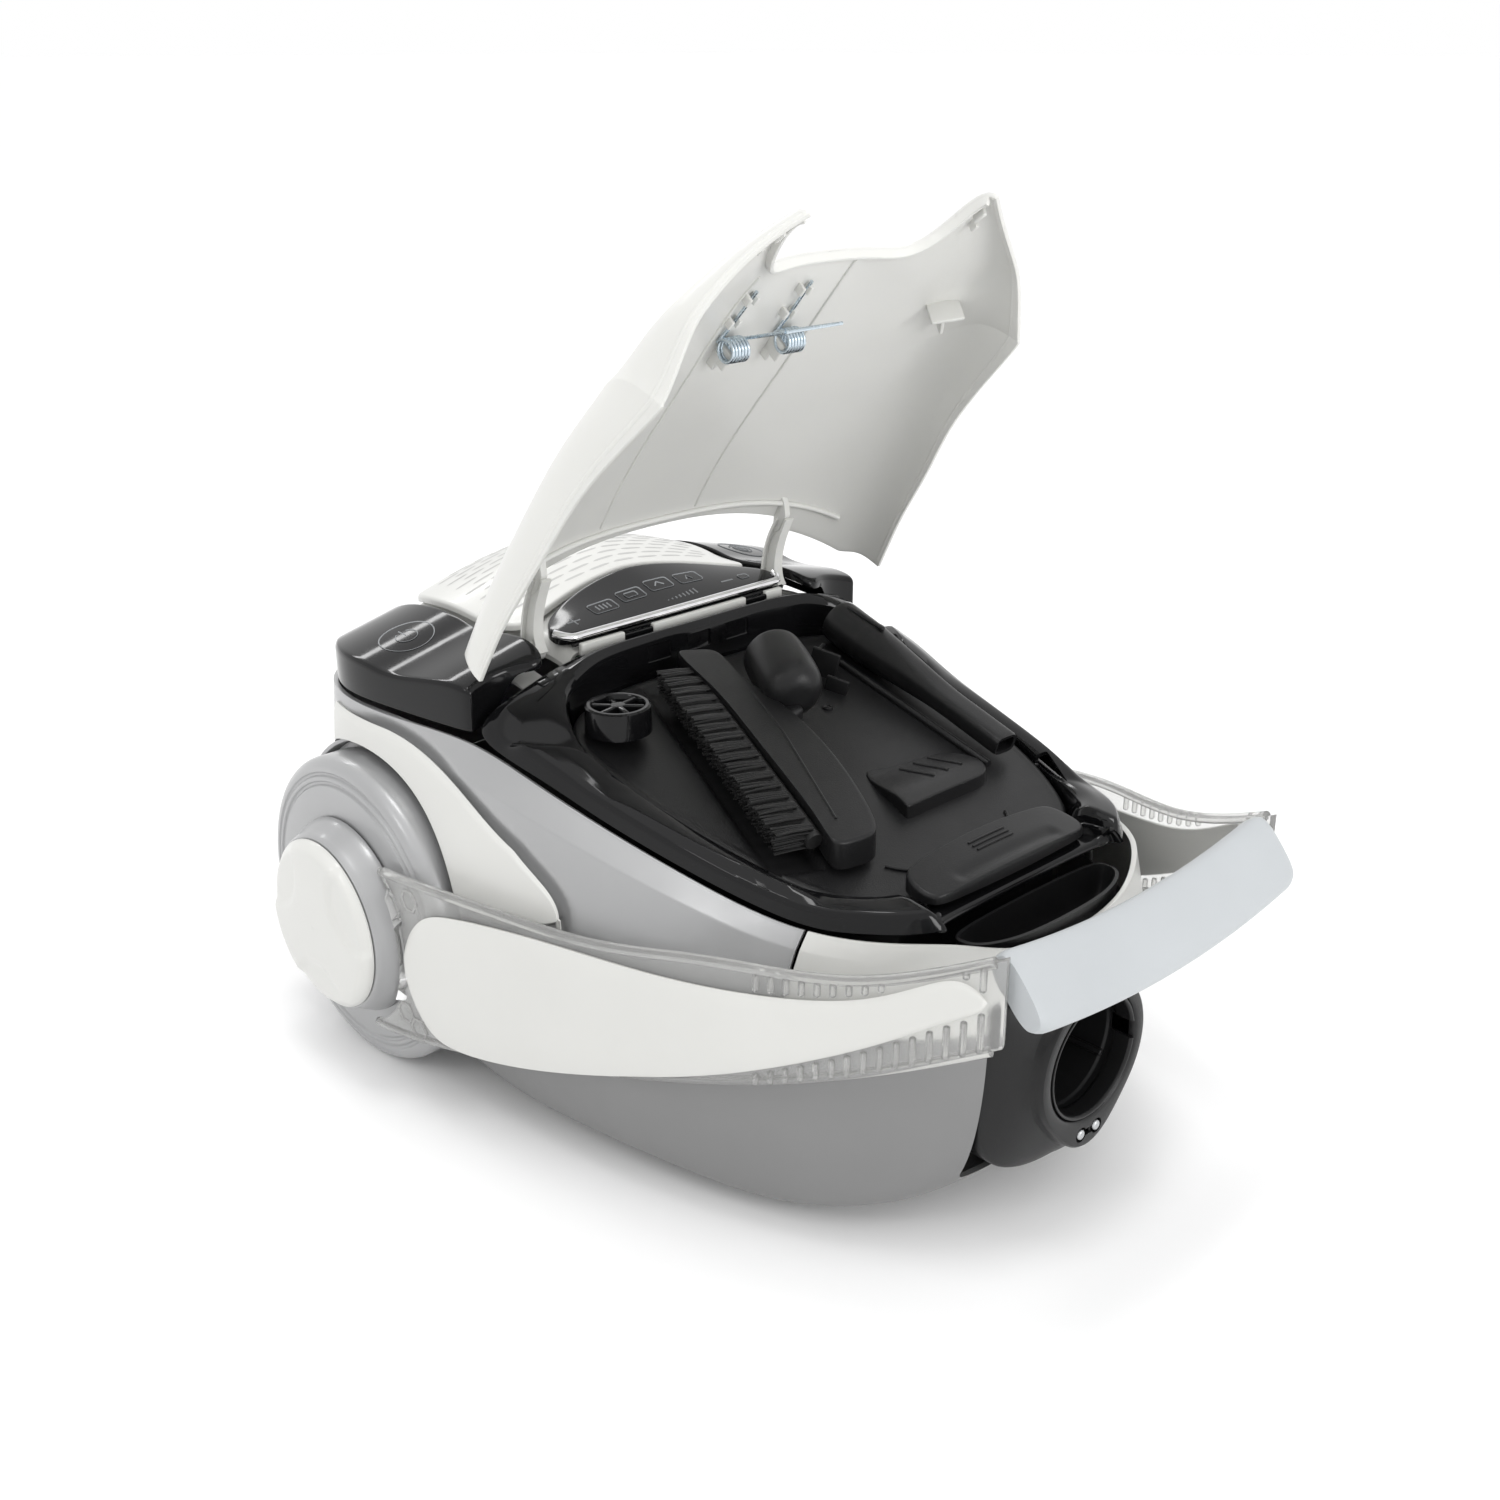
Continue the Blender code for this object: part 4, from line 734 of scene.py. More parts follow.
def makeWheels():
    r, width = wheelLook["radius"], wheelLook["outer"] - wheelLook["inner"]
    for side, sign in sides:
        face = [(7 * mm, width), (66 * mm, width), (66.7 * mm, width - 1.3 * mm),
                (68.0 * mm, width - 1.3 * mm), (68.7 * mm, width - 0.1 * mm),
                (70.4 * mm, width - 0.3 * mm), (71.2 * mm, width - 1.9 * mm),
                (72.4 * mm, width - 1.9 * mm), (73.2 * mm, width - 0.9 * mm)]
        rim = [(r - 6.8 * mm + 6.8 * mm * math.sin(t), width - 8.0 * mm + 7.0 * mm * math.cos(t))
               for t in np.linspace(0.12, math.pi / 2, 9)]
        back = [(r, 3 * mm), (r - 2.5 * mm, 0), (64 * mm, 0), (64 * mm, 14 * mm),
                (16 * mm, 14 * mm), (16 * mm, 0), (7 * mm, 0)]
        disc = lathe(f"wheelDisc_{side}", roundCorners(face + rim + back, 0.7 * mm, 3),
                     (sign * wheelLook["inner"], axle.y, axle.z), (sign, 0, 0), 192)
        dress(disc, finish["silverPaint"], f"{side}_wheel", [f"wheel_{side}"],
              degrees=50)


scoopLook = {"headings": (150, 30, 268), "reach": 44 * mm, "outer": 25.5 * mm, "inner": 20 * mm,
             "depth": 1.7 * mm, "deepest": 6.4 * mm}


def capFace(side, sign):
    # white hub cap with three shallow thumb scoops
    start, outer, radius = wheelLook["capInner"], wheelLook["capOuter"], wheelLook["cap"]
    rings, spokes = 44, 168
    verts, faces = [(sign * (outer - 0.3 * mm), axle.y, axle.z)], []
    for j in range(1, rings + 1):
        share = j / rings
        r = radius * share
        for k in range(spokes):
            angle = 2 * math.pi * k / spokes
            y, z = r * math.cos(angle), r * math.sin(angle)
            drop = 1.5 * mm * share ** 2.4 + 4.2 * mm * max(0.0, (share - 0.86) / 0.14) ** 2.6
            for heading in scoopLook["headings"]:
                scoopY = scoopLook["reach"] * math.cos(math.radians(heading))
                scoopZ = scoopLook["reach"] * math.sin(math.radians(heading))
                near = math.hypot(y - scoopY, z - scoopZ)
                drop += scoopLook["depth"] * float(ease(scoopLook["outer"], scoopLook["inner"], near))
            drop = min(drop, scoopLook["deepest"])
            verts.append((sign * (outer - drop), axle.y - y, axle.z + z))
    for k in range(spokes):
        faces.append((0, 1 + k, 1 + (k + 1) % spokes))
    faces += [tuple(v + 1 for v in f) for f in gridFaces(rings, spokes, closed=True)]
    base = len(verts)
    for k in range(spokes):
        angle = 2 * math.pi * k / spokes
        verts.append((sign * start, axle.y - radius * math.cos(angle),
                      axle.z + radius * math.sin(angle)))
    last = 1 + (rings - 1) * spokes
    for k in range(spokes):
        n = (k + 1) % spokes
        faces.append((last + k, last + n, base + n, base + k))
    faces.append(tuple(base + k for k in range(spokes)))
    cap = tidyNormals(newMesh(f"hubCap_{side}", verts, faces))
    dress(cap, finish["whiteGloss"], "handle", [f"hub_cap_{side}"])


def makeHubs():
    start = wheelLook["outer"] + 1 * mm
    for side, sign in sides:
        bell = [(41 * mm, 174.5), (44.4 * mm, 174.2), (45.4 * mm, 173), (46.0 * mm, 171),
                (47.2 * mm, 168.4), (48.8 * mm, 165.6), (50.2 * mm, 163), (50.6 * mm, 161)]
        profile = [(r, h * mm - start) for r, h in bell]
        profile += [(50.6 * mm, 0), (7 * mm, 0), (7 * mm, 4 * mm), (38 * mm, 7 * mm),
                    (38 * mm, 174.5 * mm - start)]
        hub = lathe(f"handleHub_{side}", profile, (sign * start, axle.y, axle.z), (sign, 0, 0),
                    160)
        dress(hub, finish["silverPaint"], "handle", [f"handle_hub_{side}"])
        capFace(side, sign)


makeWheels()
makeHubs()
print("wheels and hubs made")

# carry handle
armPlan = softCurve(points((93.6, -214, 0), (113, -158, 0), (130, -108, 0), (142.5, -58, 0),
                           (152, -8, 0), (160, 42, 0), (164.8, 92, 0), (166, 142, 0)), 300)
armTop = softCurve(points((0, -214, 172), (0, -158, 147), (0, -108, 139), (0, -58, 128),
                          (0, -8, 124), (0, 42, 121), (0, 92, 119), (0, 142, 119)), 300)
armLow = softCurve(points((0, -214, 134), (0, -158, 105), (0, -108, 84), (0, -58, 66),
                          (0, -8, 50), (0, 42, 37), (0, 92, 31), (0, 142, 31)), 300)
plateTop = softCurve(points((0, -208, 153), (0, -203, 157.5), (0, -190, 157), (0, -158, 140),
                            (0, -108, 129), (0, -58, 124), (0, 0, 120), (0, 50, 113),
                            (0, 72, 104), (0, 83, 90), (0, 86, 78)), 90)
plateLow = softCurve(points((0, -208, 153), (0, -204, 147), (0, -190, 138), (0, -158, 117),
                            (0, -108, 91), (0, -58, 71), (0, 0, 52), (0, 50, 42), (0, 72, 46),
                            (0, 83, 60), (0, 86, 78)), 90)
handleLook = {"armWall": 3.4 * mm, "hubGap": 55 * mm, "cell": 6.6 * mm, "rimRadius": 2.3 * mm,
              "frontY": -214 * mm, "rearY": 98 * mm, "ribs": 15, "ribPitch": 6.4, "ribFirst": -206,
              "cellColumns": 15, "cellLines": 12, "cellStart": (0.030, 0.036), "cellEnd": 0.084}


def armOut(y, out=0.0):
    # the arm's outer face in plan, or a surface parallel to it
    x = alongY(armPlan, y, 0)
    slope = (alongY(armPlan, y + mm, 0) - alongY(armPlan, y - mm, 0)) / (2 * mm)
    scale = 1 / math.sqrt(1 + slope * slope)
    return float(x + out * scale), float(y - out * slope * scale)


def hubEdge(z):
    rise = z - axle.z
    return axle.y - math.sqrt(max(0.0, handleLook["hubGap"] ** 2 - rise * rise))


def makeArms():
    columns, levels = 130, 26
    for side, sign in sides:
        grid = []
        for j in range(levels + 1):
            row = []
            for i in range(columns + 1):
                share = i / columns
                y = mix(handleLook["frontY"], handleLook["rearY"], share)
                z = float(mix(alongY(armLow, y, 2), alongY(armTop, y, 2), j / levels))
                y = mix(y, hubEdge(z), share ** 3)
                row.append((sign * armOut(y)[0], y, z))
            grid.append(row)
        grid = np.array(grid)
        arm = gridShell(f"arm_{side}", grid, bodyCentre, handleLook["armWall"], rim=0.6 * mm)
        extras = [arm]
        # rolled edges along the top and bottom
        for row in (0, levels):
            path = [Vector(p) + Vector((-sign * 1.2 * mm, 0, 0)) for p in grid[row][2:-1]]
            extras.append(tube("edge", path, handleLook["rimRadius"], 12))
        # short upright ribs above and below the plate near the grip
        for k in range(handleLook["ribs"]):
            y = (handleLook["ribFirst"] + handleLook["ribPitch"] * k) * mm
            top, low = float(alongY(armTop, y, 2)), float(alongY(armLow, y, 2))
            plateHigh, plateDown = float(alongY(plateTop, y, 2)), float(alongY(plateLow, y, 2))
            for a, b in ((plateHigh + 1.6 * mm, top - 0.6 * mm),
                         (low + 0.6 * mm, plateDown - 1.6 * mm)):
                if b - a < 3 * mm:
                    continue
                x, yOut = armOut(y, 0.8 * mm)
                extras.append(block("rib", (2.6 * mm, 2.4 * mm, b - a),
                                    (sign * x, yOut, (a + b) / 2), 0.8 * mm, segments=2))
        # honeycomb between the plate and the hub
        cell = handleLook["cell"]
        firstY, firstZ = handleLook["cellStart"]
        for column in range(handleLook["cellColumns"]):
            for line in range(handleLook["cellLines"]):
                y = firstY + column * cell * 1.52
                z = firstZ + line * cell * 1.76 + (column % 2) * cell * 0.88
                if not float(alongY(armLow, y, 2)) + cell < z < float(alongY(armTop, y, 2)) - cell:
                    continue
                if y > hubEdge(z) - cell * 0.9:
                    continue
                plateHigh, plateDown = float(alongY(plateTop, y, 2)), float(alongY(plateLow, y, 2))
                if y < handleLook["cellEnd"] and plateDown - cell < z < plateHigh + cell:
                    continue
                extras.append(hexCell(sign, y, z, cell))
        arm = joined(f"clearArm_{side}", extras)
        dress(arm, finish["clearPlastic"], "handle", [f"handle_arm_{side}"])


def hexCell(sign, y, z, cell):
    # one raised six-sided rim on the arm's outer face
    verts, faces = [], []
    for k in range(6):
        angle = math.radians(60 * k)
        for radius, out in ((cell, 0), (cell * 0.94, 1.1), (cell * 0.78, 1.1), (cell * 0.72, 0)):
            yy, zz = y + radius * math.cos(angle), z + radius * math.sin(angle)
            x, yOut = armOut(yy, out * mm - 0.3 * mm)
            verts.append((sign * x, yOut, zz))
    for k in range(6):
        n = (k + 1) % 6
        for m in range(4):
            w = (m + 1) % 4
            faces.append((4 * k + m, 4 * n + m, 4 * n + w, 4 * k + w))
    return tidyNormals(newMesh("cell", verts, faces))


def makePlates():
    for side, sign in sides:
        grid = []
        levels = 22
        for j in range(levels + 1):
            row = []
            for i, (top, low) in enumerate(zip(plateTop, plateLow)):
                t = j / levels
                y, z = mix(low[1], top[1], t), mix(low[2], top[2], t)
                crown = 1.1 * mm * (1 - abs(2 * t - 1) ** 6) * min(1.0, i / 4, (89 - i) / 4)
                x, yOut = armOut(y, 1.0 * mm + crown)
                row.append((sign * x, yOut, z))
            grid.append(row)
        plate = gridShell(f"armPlate_{side}", grid, bodyCentre, 1.0 * mm)
        dress(plate, finish["whiteGloss"], "handle", [f"arm_plate_{side}"])


gripLook = {"half": 89.4 * mm, "y": -215.8 * mm, "z": 157 * mm, "bow": 7 * mm, "tall": 17 * mm,
            "deep": 6 * mm, "crown": 0.7 * mm, "edge": 1.4 * mm, "lean": (0.64, 0.77)}


def makeGrip():
    count, around = 72, 44
    look = gripLook
    lean, rise = look["lean"]
    verts, faces = [], []
    along, normal = np.array((0, lean, rise)), np.array((0, -rise, lean))
    for k in range(count):
        u = -1 + 2 * k / (count - 1)
        bow = (1 - u * u) * look["bow"]
        middle = np.array((u * look["half"], look["y"] - bow * 0.25, look["z"] - bow))
        taper = 1 - 0.10 * max(0.0, (abs(u) - 0.93) / 0.07) ** 2
        for m in range(around):
            angle = 2 * math.pi * m / around
            c, s = math.cos(angle), math.sin(angle)
            tall = look["tall"] * math.copysign(abs(s) ** 0.55, s) * taper
            deep = look["deep"] * math.copysign(abs(c) ** 0.6, c) * taper
            bulge = look["crown"] * (1 - (tall / look["tall"]) ** 2) * c
            verts.append(middle + along * tall + normal * (deep + bulge))
    faces += gridFaces(count, around, closed=True)
    faces.append(tuple(range(around)))
    faces.append(tuple((count - 1) * around + m for m in range(around)))
    bar = tidyNormals(newMesh("grip", verts, faces))
    softEdge(bar, gripLook["edge"], 3, 60)
    dress(bar, finish["gripSoft"], "handle", ["grip"])


makeArms()
makePlates()
makeGrip()
print("handle made")

# deck frame, rear top and display
trayLook = {"rearY": 71 * mm, "rearZ": 200 * mm, "slope": 0.257, "clearance": 1.4 * mm}
deckOuter = points((0, 64, 213), (45, 64, 213), (70, 64, 212), (92, 67, 207), (116, 68, 199),
                   (127.5, 63, 188), (125, 26, 179), (119, -10, 169), (110.5, -60, 158),
                   (98, -108, 149), (86, -134, 149), (73, -150, 150), (60, -158, 150),
                   (56, -152, 148), (0, -149, 147))
deckInner = points((0, 57, 210), (45, 57, 210), (72, 53, 208), (90, 46, 205), (100, 35, 200),
                   (104, 20, 190), (104.5, 3, 184), (103, -19, 178), (98, -55, 169),
                   (90, -88, 161), (79, -112, 154), (69, -124, 151), (58, -131, 150),
                   (45, -135.5, 149), (0, -137, 149))
deckLook = {"stations": 200, "sideLip": 8.5 * mm, "rearLip": 3.2 * mm, "frontLip": 1.5 * mm,
            "wallDrop": 9 * mm}


def trayZ(y):
    return trayLook["rearZ"] - trayLook["slope"] * (trayLook["rearY"] - y)


def onTray(x, y, height):
    return Vector((x * mm, y * mm, trayZ(y * mm) + height * mm))


def makeDeck():
    outer = softCurve(deckOuter, deckLook["stations"])
    inner = softCurve(deckInner, deckLook["stations"])
    columns = []
    for a, b in zip(outer, inner):
        rearShare = float(ease(42 * mm, 56 * mm, a[1]))
        frontShare = float(ease(66 * mm, 56 * mm, abs(a[0])) * ease(-100 * mm, -130 * mm, a[1]))
        lipHeight = mix(deckLook["sideLip"], deckLook["rearLip"], rearShare)
        lipHeight = mix(lipHeight, deckLook["frontLip"], frontShare)
        b = np.array((b[0], b[1], max(b[2], trayZ(b[1]) + 0.9 * mm)))
        flatZ = max(a[2] + lipHeight + 1.2 * mm, b[2] + 1.0 * mm)
        if frontShare > 0.5:
            flatZ = b[2] + 1.0 * mm
        lipZ = a[2] + lipHeight
        low = trayZ(b[1]) - deckLook["wallDrop"]
        # across the rim, as a share of the way in and a height, then down the inner wall
        rim = ((0.0, a[2]), (0.01, a[2] + 0.6 * mm), (0.08, mix(a[2], lipZ, 0.6)),
               (0.12, lipZ - 0.8 * mm), (0.15, lipZ - 0.1 * mm), (0.19, lipZ + 0.2 * mm),
               (0.30, mix(lipZ, flatZ, 0.55)), (0.42, flatZ - 0.3 * mm), (0.50, flatZ),
               (0.70, flatZ - 0.1 * mm), (0.90, mix(flatZ, b[2], 0.35)),
               (0.965, mix(flatZ, b[2], 0.7)), (0.992, b[2] - 0.5 * mm))
        wall = (b[2] - 1.6 * mm, mix(b[2], low, 0.45), mix(b[2], low, 0.75), low)
        column = [(*(a + (b - a) * share)[:2], z) for share, z in rim]
        columns.append(column + [(b[0], b[1], z) for z in wall])
    grid = mirrorGrid(np.array(columns).transpose(1, 0, 2))
    rimShell = gridShell("deckFrame", grid, (0, -0.03, 0.1), 1.8 * mm)
    extras = [rimShell]
    # two shallow thumb recesses in the rear wall and a step in each side rim
    knives = []
    for x in (0, -26, 26):
        knives.append(block("knife", (15 * mm, 1.6 * mm, 9 * mm), (x * mm, 57.4 * mm, 0.2075),
                            0.7 * mm))
    for _, sign in sides:
        knives.append(block("knife", (9 * mm, 24 * mm, 7 * mm),
                            (sign * 86.5 * mm, -97 * mm, 0.1605), 1 * mm,
                            Matrix.Rotation(sign * math.radians(-27), 3, "Z")))
    cut(rimShell, knives)
    # raised pads where the lid's arms pass
    for _, sign in sides:
        extras.append(block("pad", (12 * mm, 6 * mm, 3 * mm), (sign * 93 * mm, 58 * mm, 0.2095),
                            0.8 * mm, Matrix.Rotation(sign * math.radians(14), 3, "Y")))
    piece = joined("deckFrame", extras)
    dress(piece, finish["pianoBlack"], "chassis", ["deck_frame"])


topSpine = softCurve(points((0, 58, 216), (0, 71, 220), (0, 108, 232), (0, 145, 240),
                            (0, 180, 237), (0, 206, 225), (0, 226, 203)), 160)


def rearTop(x, y):
    # nearly flat at the display and crowned over the filter
    crown = 20 * mm * float(ease(70 * mm, 135 * mm, y))
    shoulder = 82 * mm
    return (float(alongY(topSpine, y, 2)) - crown * 0.9 * (min(abs(x), shoulder) / (80 * mm)) ** 1.6
            - max(0.0, abs(x) - shoulder) * 0.24)


def outlineLoop(halfPoints, count):
    # closed outline from its +X half, front middle to rear middle, with its mirror image
    half = softCurve(halfPoints, count, mirrored=True)
    other = half[1:-1][::-1] * np.array([-1, 1, 1])
    return np.concatenate([half, other])


def padShell(name, outline, top, skirt, edge, centre=None, rings=14, floorDrop=2.2 * mm):
    # a solid pad over an outline: crowned top, rounded rim and an upright skirt
    middle = np.mean(outline, axis=0) if centre is None else np.array(centre)
    size = np.max(np.linalg.norm((outline - middle)[:, :2], axis=1))
    rows, roundSteps = [], 6
    for k in range(rings):
        share = (1 - edge / size) * (k + 1) / rings
        rows.append([(p[0], p[1], top(p[0], p[1])) for p in middle + (outline - middle) * share])
    for k in range(1, roundSteps + 1):
        angle = k / roundSteps * math.pi / 2
        share = 1 - edge / size * (1 - math.sin(angle))
        row = middle + (outline - middle) * share
        rows.append([(p[0], p[1], top(p[0], p[1]) - edge * (1 - math.cos(angle))) for p in row])
    rows.append([(p[0], p[1], min(skirt(p[0], p[1]), top(p[0], p[1]) - edge - 0.3 * mm))
                 for p in outline])
    inner = middle + (outline - middle) * (1 - 1.6 * mm / size)
    rows.append([(p[0], p[1], skirt(p[0], p[1]) + 0.1 * mm) for p in inner])
    rows.append([(p[0], p[1], top(p[0], p[1]) - edge - floorDrop) for p in inner])
    count = len(outline)
    verts = [(middle[0], middle[1], top(middle[0], middle[1]))]
    for row in rows:
        verts += row
    verts.append((middle[0], middle[1], top(middle[0], middle[1]) - edge - floorDrop))
    faces = [(0, 1 + (k + 1) % count, 1 + k) for k in range(count)]
    faces += [tuple(v + 1 for v in f) for f in gridFaces(len(rows), count, closed=True)]
    last = 1 + (len(rows) - 1) * count
    faces += [(last + k, last + (k + 1) % count, len(verts) - 1) for k in range(count)]
    return tidyNormals(newMesh(name, verts, faces))


coverLook = {"rows": 70, "columns": 50, "frontY": 70 * mm, "rearY": 224 * mm, "reach": 98 * mm,
             "rearReach": 83 * mm, "drop": 6 * mm, "pedalDrop": 13.5 * mm, "low": 188 * mm,
             "wall": 1.8 * mm}


def makeRearCover():
    look = coverLook
    rows = []
    for k in range(look["rows"]):
        y = mix(look["frontY"], look["rearY"], k / (look["rows"] - 1))
        reach = mix(look["reach"], look["rearReach"], float(ease(165 * mm, 182 * mm, y)))
        row = []
        for j in range(look["columns"]):
            x = reach * j / (look["columns"] - 1)
            drop = mix(look["drop"], look["pedalDrop"], float(ease(68 * mm, 76 * mm, x)))
            atRear = k >= look["rows"] - 2
            row.append((x, y, look["low"] if atRear else max(rearTop(x, y) - drop, look["low"])))
        rows.append(row)
    cover = gridShell("rearCover", mirrorGrid(np.array(rows)), (0, 0.15, 0.1), look["wall"])
    knives = [block("knife", (13 * mm, 32 * mm, 60 * mm), (sign * 80 * mm, 81 * mm, 0.214), 1 * mm)
              for _, sign in sides]
    knives.append(block("knife", (0.128, 0.066, 0.09), (0, 0.165, 0.225), 2 * mm))
    cut(cover, knives)
    dress(cover, finish["whiteGloss"], "chassis", ["rear_cover"])


displayEdge = points((0, 74, 0), (40, 74, 0), (66, 75, 0), (73, 80, 0), (66, 93, 0), (40, 106, 0),
                     (0, 111, 0))
iconLook = {"line": 0.45 * mm, "height": 1.05 * mm}


def iconPath(pts, closed=True):
    line = []
    for x, y in pts:
        line.append(Vector((x * mm, y * mm, rearTop(x * mm, y * mm) + iconLook["height"])))
    return tube("icon", line, iconLook["line"], 8, closed, 0.35)


def roundedBox(cx, cy, wide, deep, corner=1.6):
    shape = []
    for sx, sy, start in ((1, 1, 0), (-1, 1, 90), (-1, -1, 180), (1, -1, 270)):
        for k in range(5):
            angle = math.radians(start + 22.5 * k)
            shape.append((cx + sx * (wide / 2 - corner) + corner * math.cos(angle),
                          cy + sy * (deep / 2 - corner) + corner * math.sin(angle)))
    return shape


def makeDisplay():
    outline = outlineLoop(displayEdge, 60)
    panel = padShell("displayPanel", outline, lambda x, y: rearTop(x, y) + 1 * mm,
                     lambda x, y: rearTop(x, y) - 4.5 * mm, 1.2 * mm, (0, 0.088, 0), rings=24,
                     floorDrop=4 * mm)
    dress(panel, finish["pianoBlack"], "chassis", ["display_panel"])
    icons = [iconPath([(-62, 83.5), (-54, 83.5)], False), iconPath([(-58, 80), (-58, 87)], False)]
    for cx, cy in ((-36, 88), (-16, 90.5), (4, 92.5), (24, 92.5)):
        icons.append(iconPath(roundedBox(cx, cy, 15, 8.5)))
    for k in range(4):
        icons.append(iconPath([(-39.5 + 2.4 * k, 86), (-39.5 + 2.4 * k, 90)], False))
    icons.append(iconPath(roundedBox(-16, 90.5, 7, 3.6, 0.8)))
    for x in (7, 1):
        icons.append(iconPath([(x, 91.5), (4, 94.5)], False))
    icons.append(iconPath([(22, 91), (24, 94.4), (26, 91)], False))
    for k in range(9):
        icons.append(iconPath([(-4 + 2.8 * k, 78.5), (-4 + 2.8 * k, 78.5 + 0.5 * k)], False))
    icons.append(iconPath([(38, 82), (46, 82)], False))
    icons.append(iconPath(roundedBox(54, 82.5, 6, 4, 1.2)))
    marks = joined("displayIcons", icons)
    dress(marks, finish["iconGrey"], "chassis", ["display_panel"])


def makeTrim():
    # chrome rim under the display's front edge, turning up round each end
    path = []
    for k in range(61):
        x = mix(-73.5 * mm, 73.5 * mm, k / 60)
        bend = max(0.0, abs(x) - 66.5 * mm) / (7 * mm)
        path.append(Vector((x, 71.3 * mm + 8 * mm * bend ** 2.2,
                            rearTop(0, 71 * mm) + 1.2 * mm + 1.4 * mm * bend ** 2)))
    trim = tube("chromeTrim", path, 2.0 * mm, 20, False, 0.8)
    dress(trim, finish["chromePlate"], "chassis", ["chrome_trim"])
    strips = []
    for low, high in ((-67, -40), (-22, 41), (55, 67)):
        strips.append(block("ledge", ((high - low) * mm, 3.0 * mm, 6.6 * mm),
                            ((low + high) / 2 * mm, 67.6 * mm, 0.2156), 0.9 * mm, segments=4))
    ledge = joined("ledgeStrip", strips)
    dress(ledge, finish["whiteGloss"], "chassis", ["ledge_strip"])
    bars = [block("gap", (18 * mm, 2.6 * mm, 5 * mm), (x * mm, 67.5 * mm, 0.215), 0.5 * mm)
            for x in (-31, 48)]
    bars.append(tube("seam", [Vector((x * mm, 69.6 * mm, rearTop(0, 0.07) - 1.6 * mm))
                              for x in range(-70, 71, 5)], 1.0 * mm, 10))
    dress(joined("ledgeGaps", bars), finish["pianoBlack"], "chassis", ["ledge_strip"])


grilleLook = {"rows": 17, "pitch": 5.5 * mm, "long": 13 * mm, "gap": 3.2 * mm, "wide": 1.5 * mm}


def makeGrille():
    edge = points((0, 115, 0), (42, 111, 0), (68, 104, 0), (78, 112, 0), (81, 150, 0),
                  (76, 190, 0), (58, 209, 0), (30, 216, 0), (0, 218, 0))
    outline = outlineLoop(edge, 70)
    grille = padShell("exhaustGrille", outline, rearTop, lambda x, y: rearTop(x, y) - 3.6 * mm,
                      1.6 * mm, (0, 0.16, 0), rings=22, floorDrop=1.4 * mm)
    dress(grille, finish["whiteGloss"], "filter_door", ["exhaust_grille"])
    # rows of fine slots, each row shifted by half a slot, drawn as flat grey strips on the top:
    # painted shade in place of cut openings
    verts, faces = [], []
    look = grilleLook
    step = look["long"] + look["gap"]
    for row in range(look["rows"]):
        y = 120 * mm + row * look["pitch"]
        half = float(np.interp(y, [0.115, 0.15, 0.19, 0.209], [0.066, 0.073, 0.066, 0.045]))
        start = -half + (row % 2) * step / 2
        while start + look["long"] * 0.5 < half:
            end = min(start + look["long"], half)
            base = len(verts)
            cells = 6
            for k in range(cells + 1):
                x = mix(start, end, k / cells)
                fullness = max(math.sqrt(max(0.0, 1 - (2 * k / cells - 1) ** 6)), 0.25)
                for side in (-1, 1):
                    slotY = y + side * look["wide"] / 2 * fullness
                    verts.append((x, slotY, rearTop(x, slotY) + 0.07 * mm))
            for k in range(cells):
                a = base + 2 * k
                faces.append((a, a + 2, a + 3, a + 1))
            start += step
    slots = newMesh("grilleSlots", verts, faces)
    dress(slots, finish["slotShadeGrey"], "filter_door", ["exhaust_grille"])


pedalLook = {"left": ("power_button", "power_pedal"), "right": ("rewind_button", "rewind_pedal"),
             "ring": 13.5, "arc": 5.4, "spot": (113, 146)}


def polar(x, y, radius, degrees):
    angle = math.radians(degrees)
    return x + radius * math.cos(angle), y + radius * math.sin(angle)


def makePedals():
    edge = [(87, 73), (104, 72), (124, 73), (131, 80), (138.5, 128), (138, 168), (120, 199),
            (100, 211), (89.5, 205), (87, 182), (86.5, 130)]

    def skirt(x, y):
        outer = float(ease(100 * mm, 118 * mm, abs(x) + max(0.0, y - 172 * mm)))
        return mix(rearTop(x, y) - 4 * mm, 189.5 * mm, outer)

    def top(x, y):
        return rearTop(x, y) + 0.5 * mm

    for side, sign in sides:
        outline = softCurve([(sign * x * mm, y * mm, 0) for x, y in edge], 150, closed=True)
        body, node = pedalLook[side]
        pedal = padShell(f"pedal_{side}", outline, top, skirt, 3 * mm, rings=20)
        dress(pedal, finish["pianoBlack"], body, [node])
        # generic symbol: a ring with a bar in it for power, and a coil mark for the cord
        x, y = sign * pedalLook["spot"][0], pedalLook["spot"][1]
        ring = [polar(x, y, pedalLook["ring"], 360 * k / 64) for k in range(64)]
        marks = [pedalLine(ring, top, True)]
        if side == "left":
            arc = [polar(x, y, pedalLook["arc"], turn) for turn in range(120, 421, 10)]
            marks += [pedalLine(arc, top), pedalLine([(x, y + 1), (x, y + 7.4)], top)]
        else:
            coil = [polar(x, y, 2 + turn / 160, turn) for turn in range(0, 900, 12)]
            marks.append(pedalLine(coil, top))
        dress(joined(f"pedalMark_{side}", marks), finish["iconGrey"], body, [node])


def pedalLine(pts, top, closed=False):
    line = [Vector((x * mm, y * mm, top(x * mm, y * mm) + 0.02 * mm)) for x, y in pts]
    return tube("mark", line, 0.42 * mm, 8, closed, 0.4)


makeDeck()
makeRearCover()
makeDisplay()
makeTrim()
makeGrille()
makePedals()
print("deck and rear top made")


# hose port
port = {"place": Vector((0, -194, 80)) * mm, "radius": 28.5 * mm, "halfWidth": 53 * mm,
        "above": 39.5 * mm, "below": 50 * mm, "collar": 37 * mm, "contactDrop": 37 * mm,
        "contactShift": 5.5 * mm}


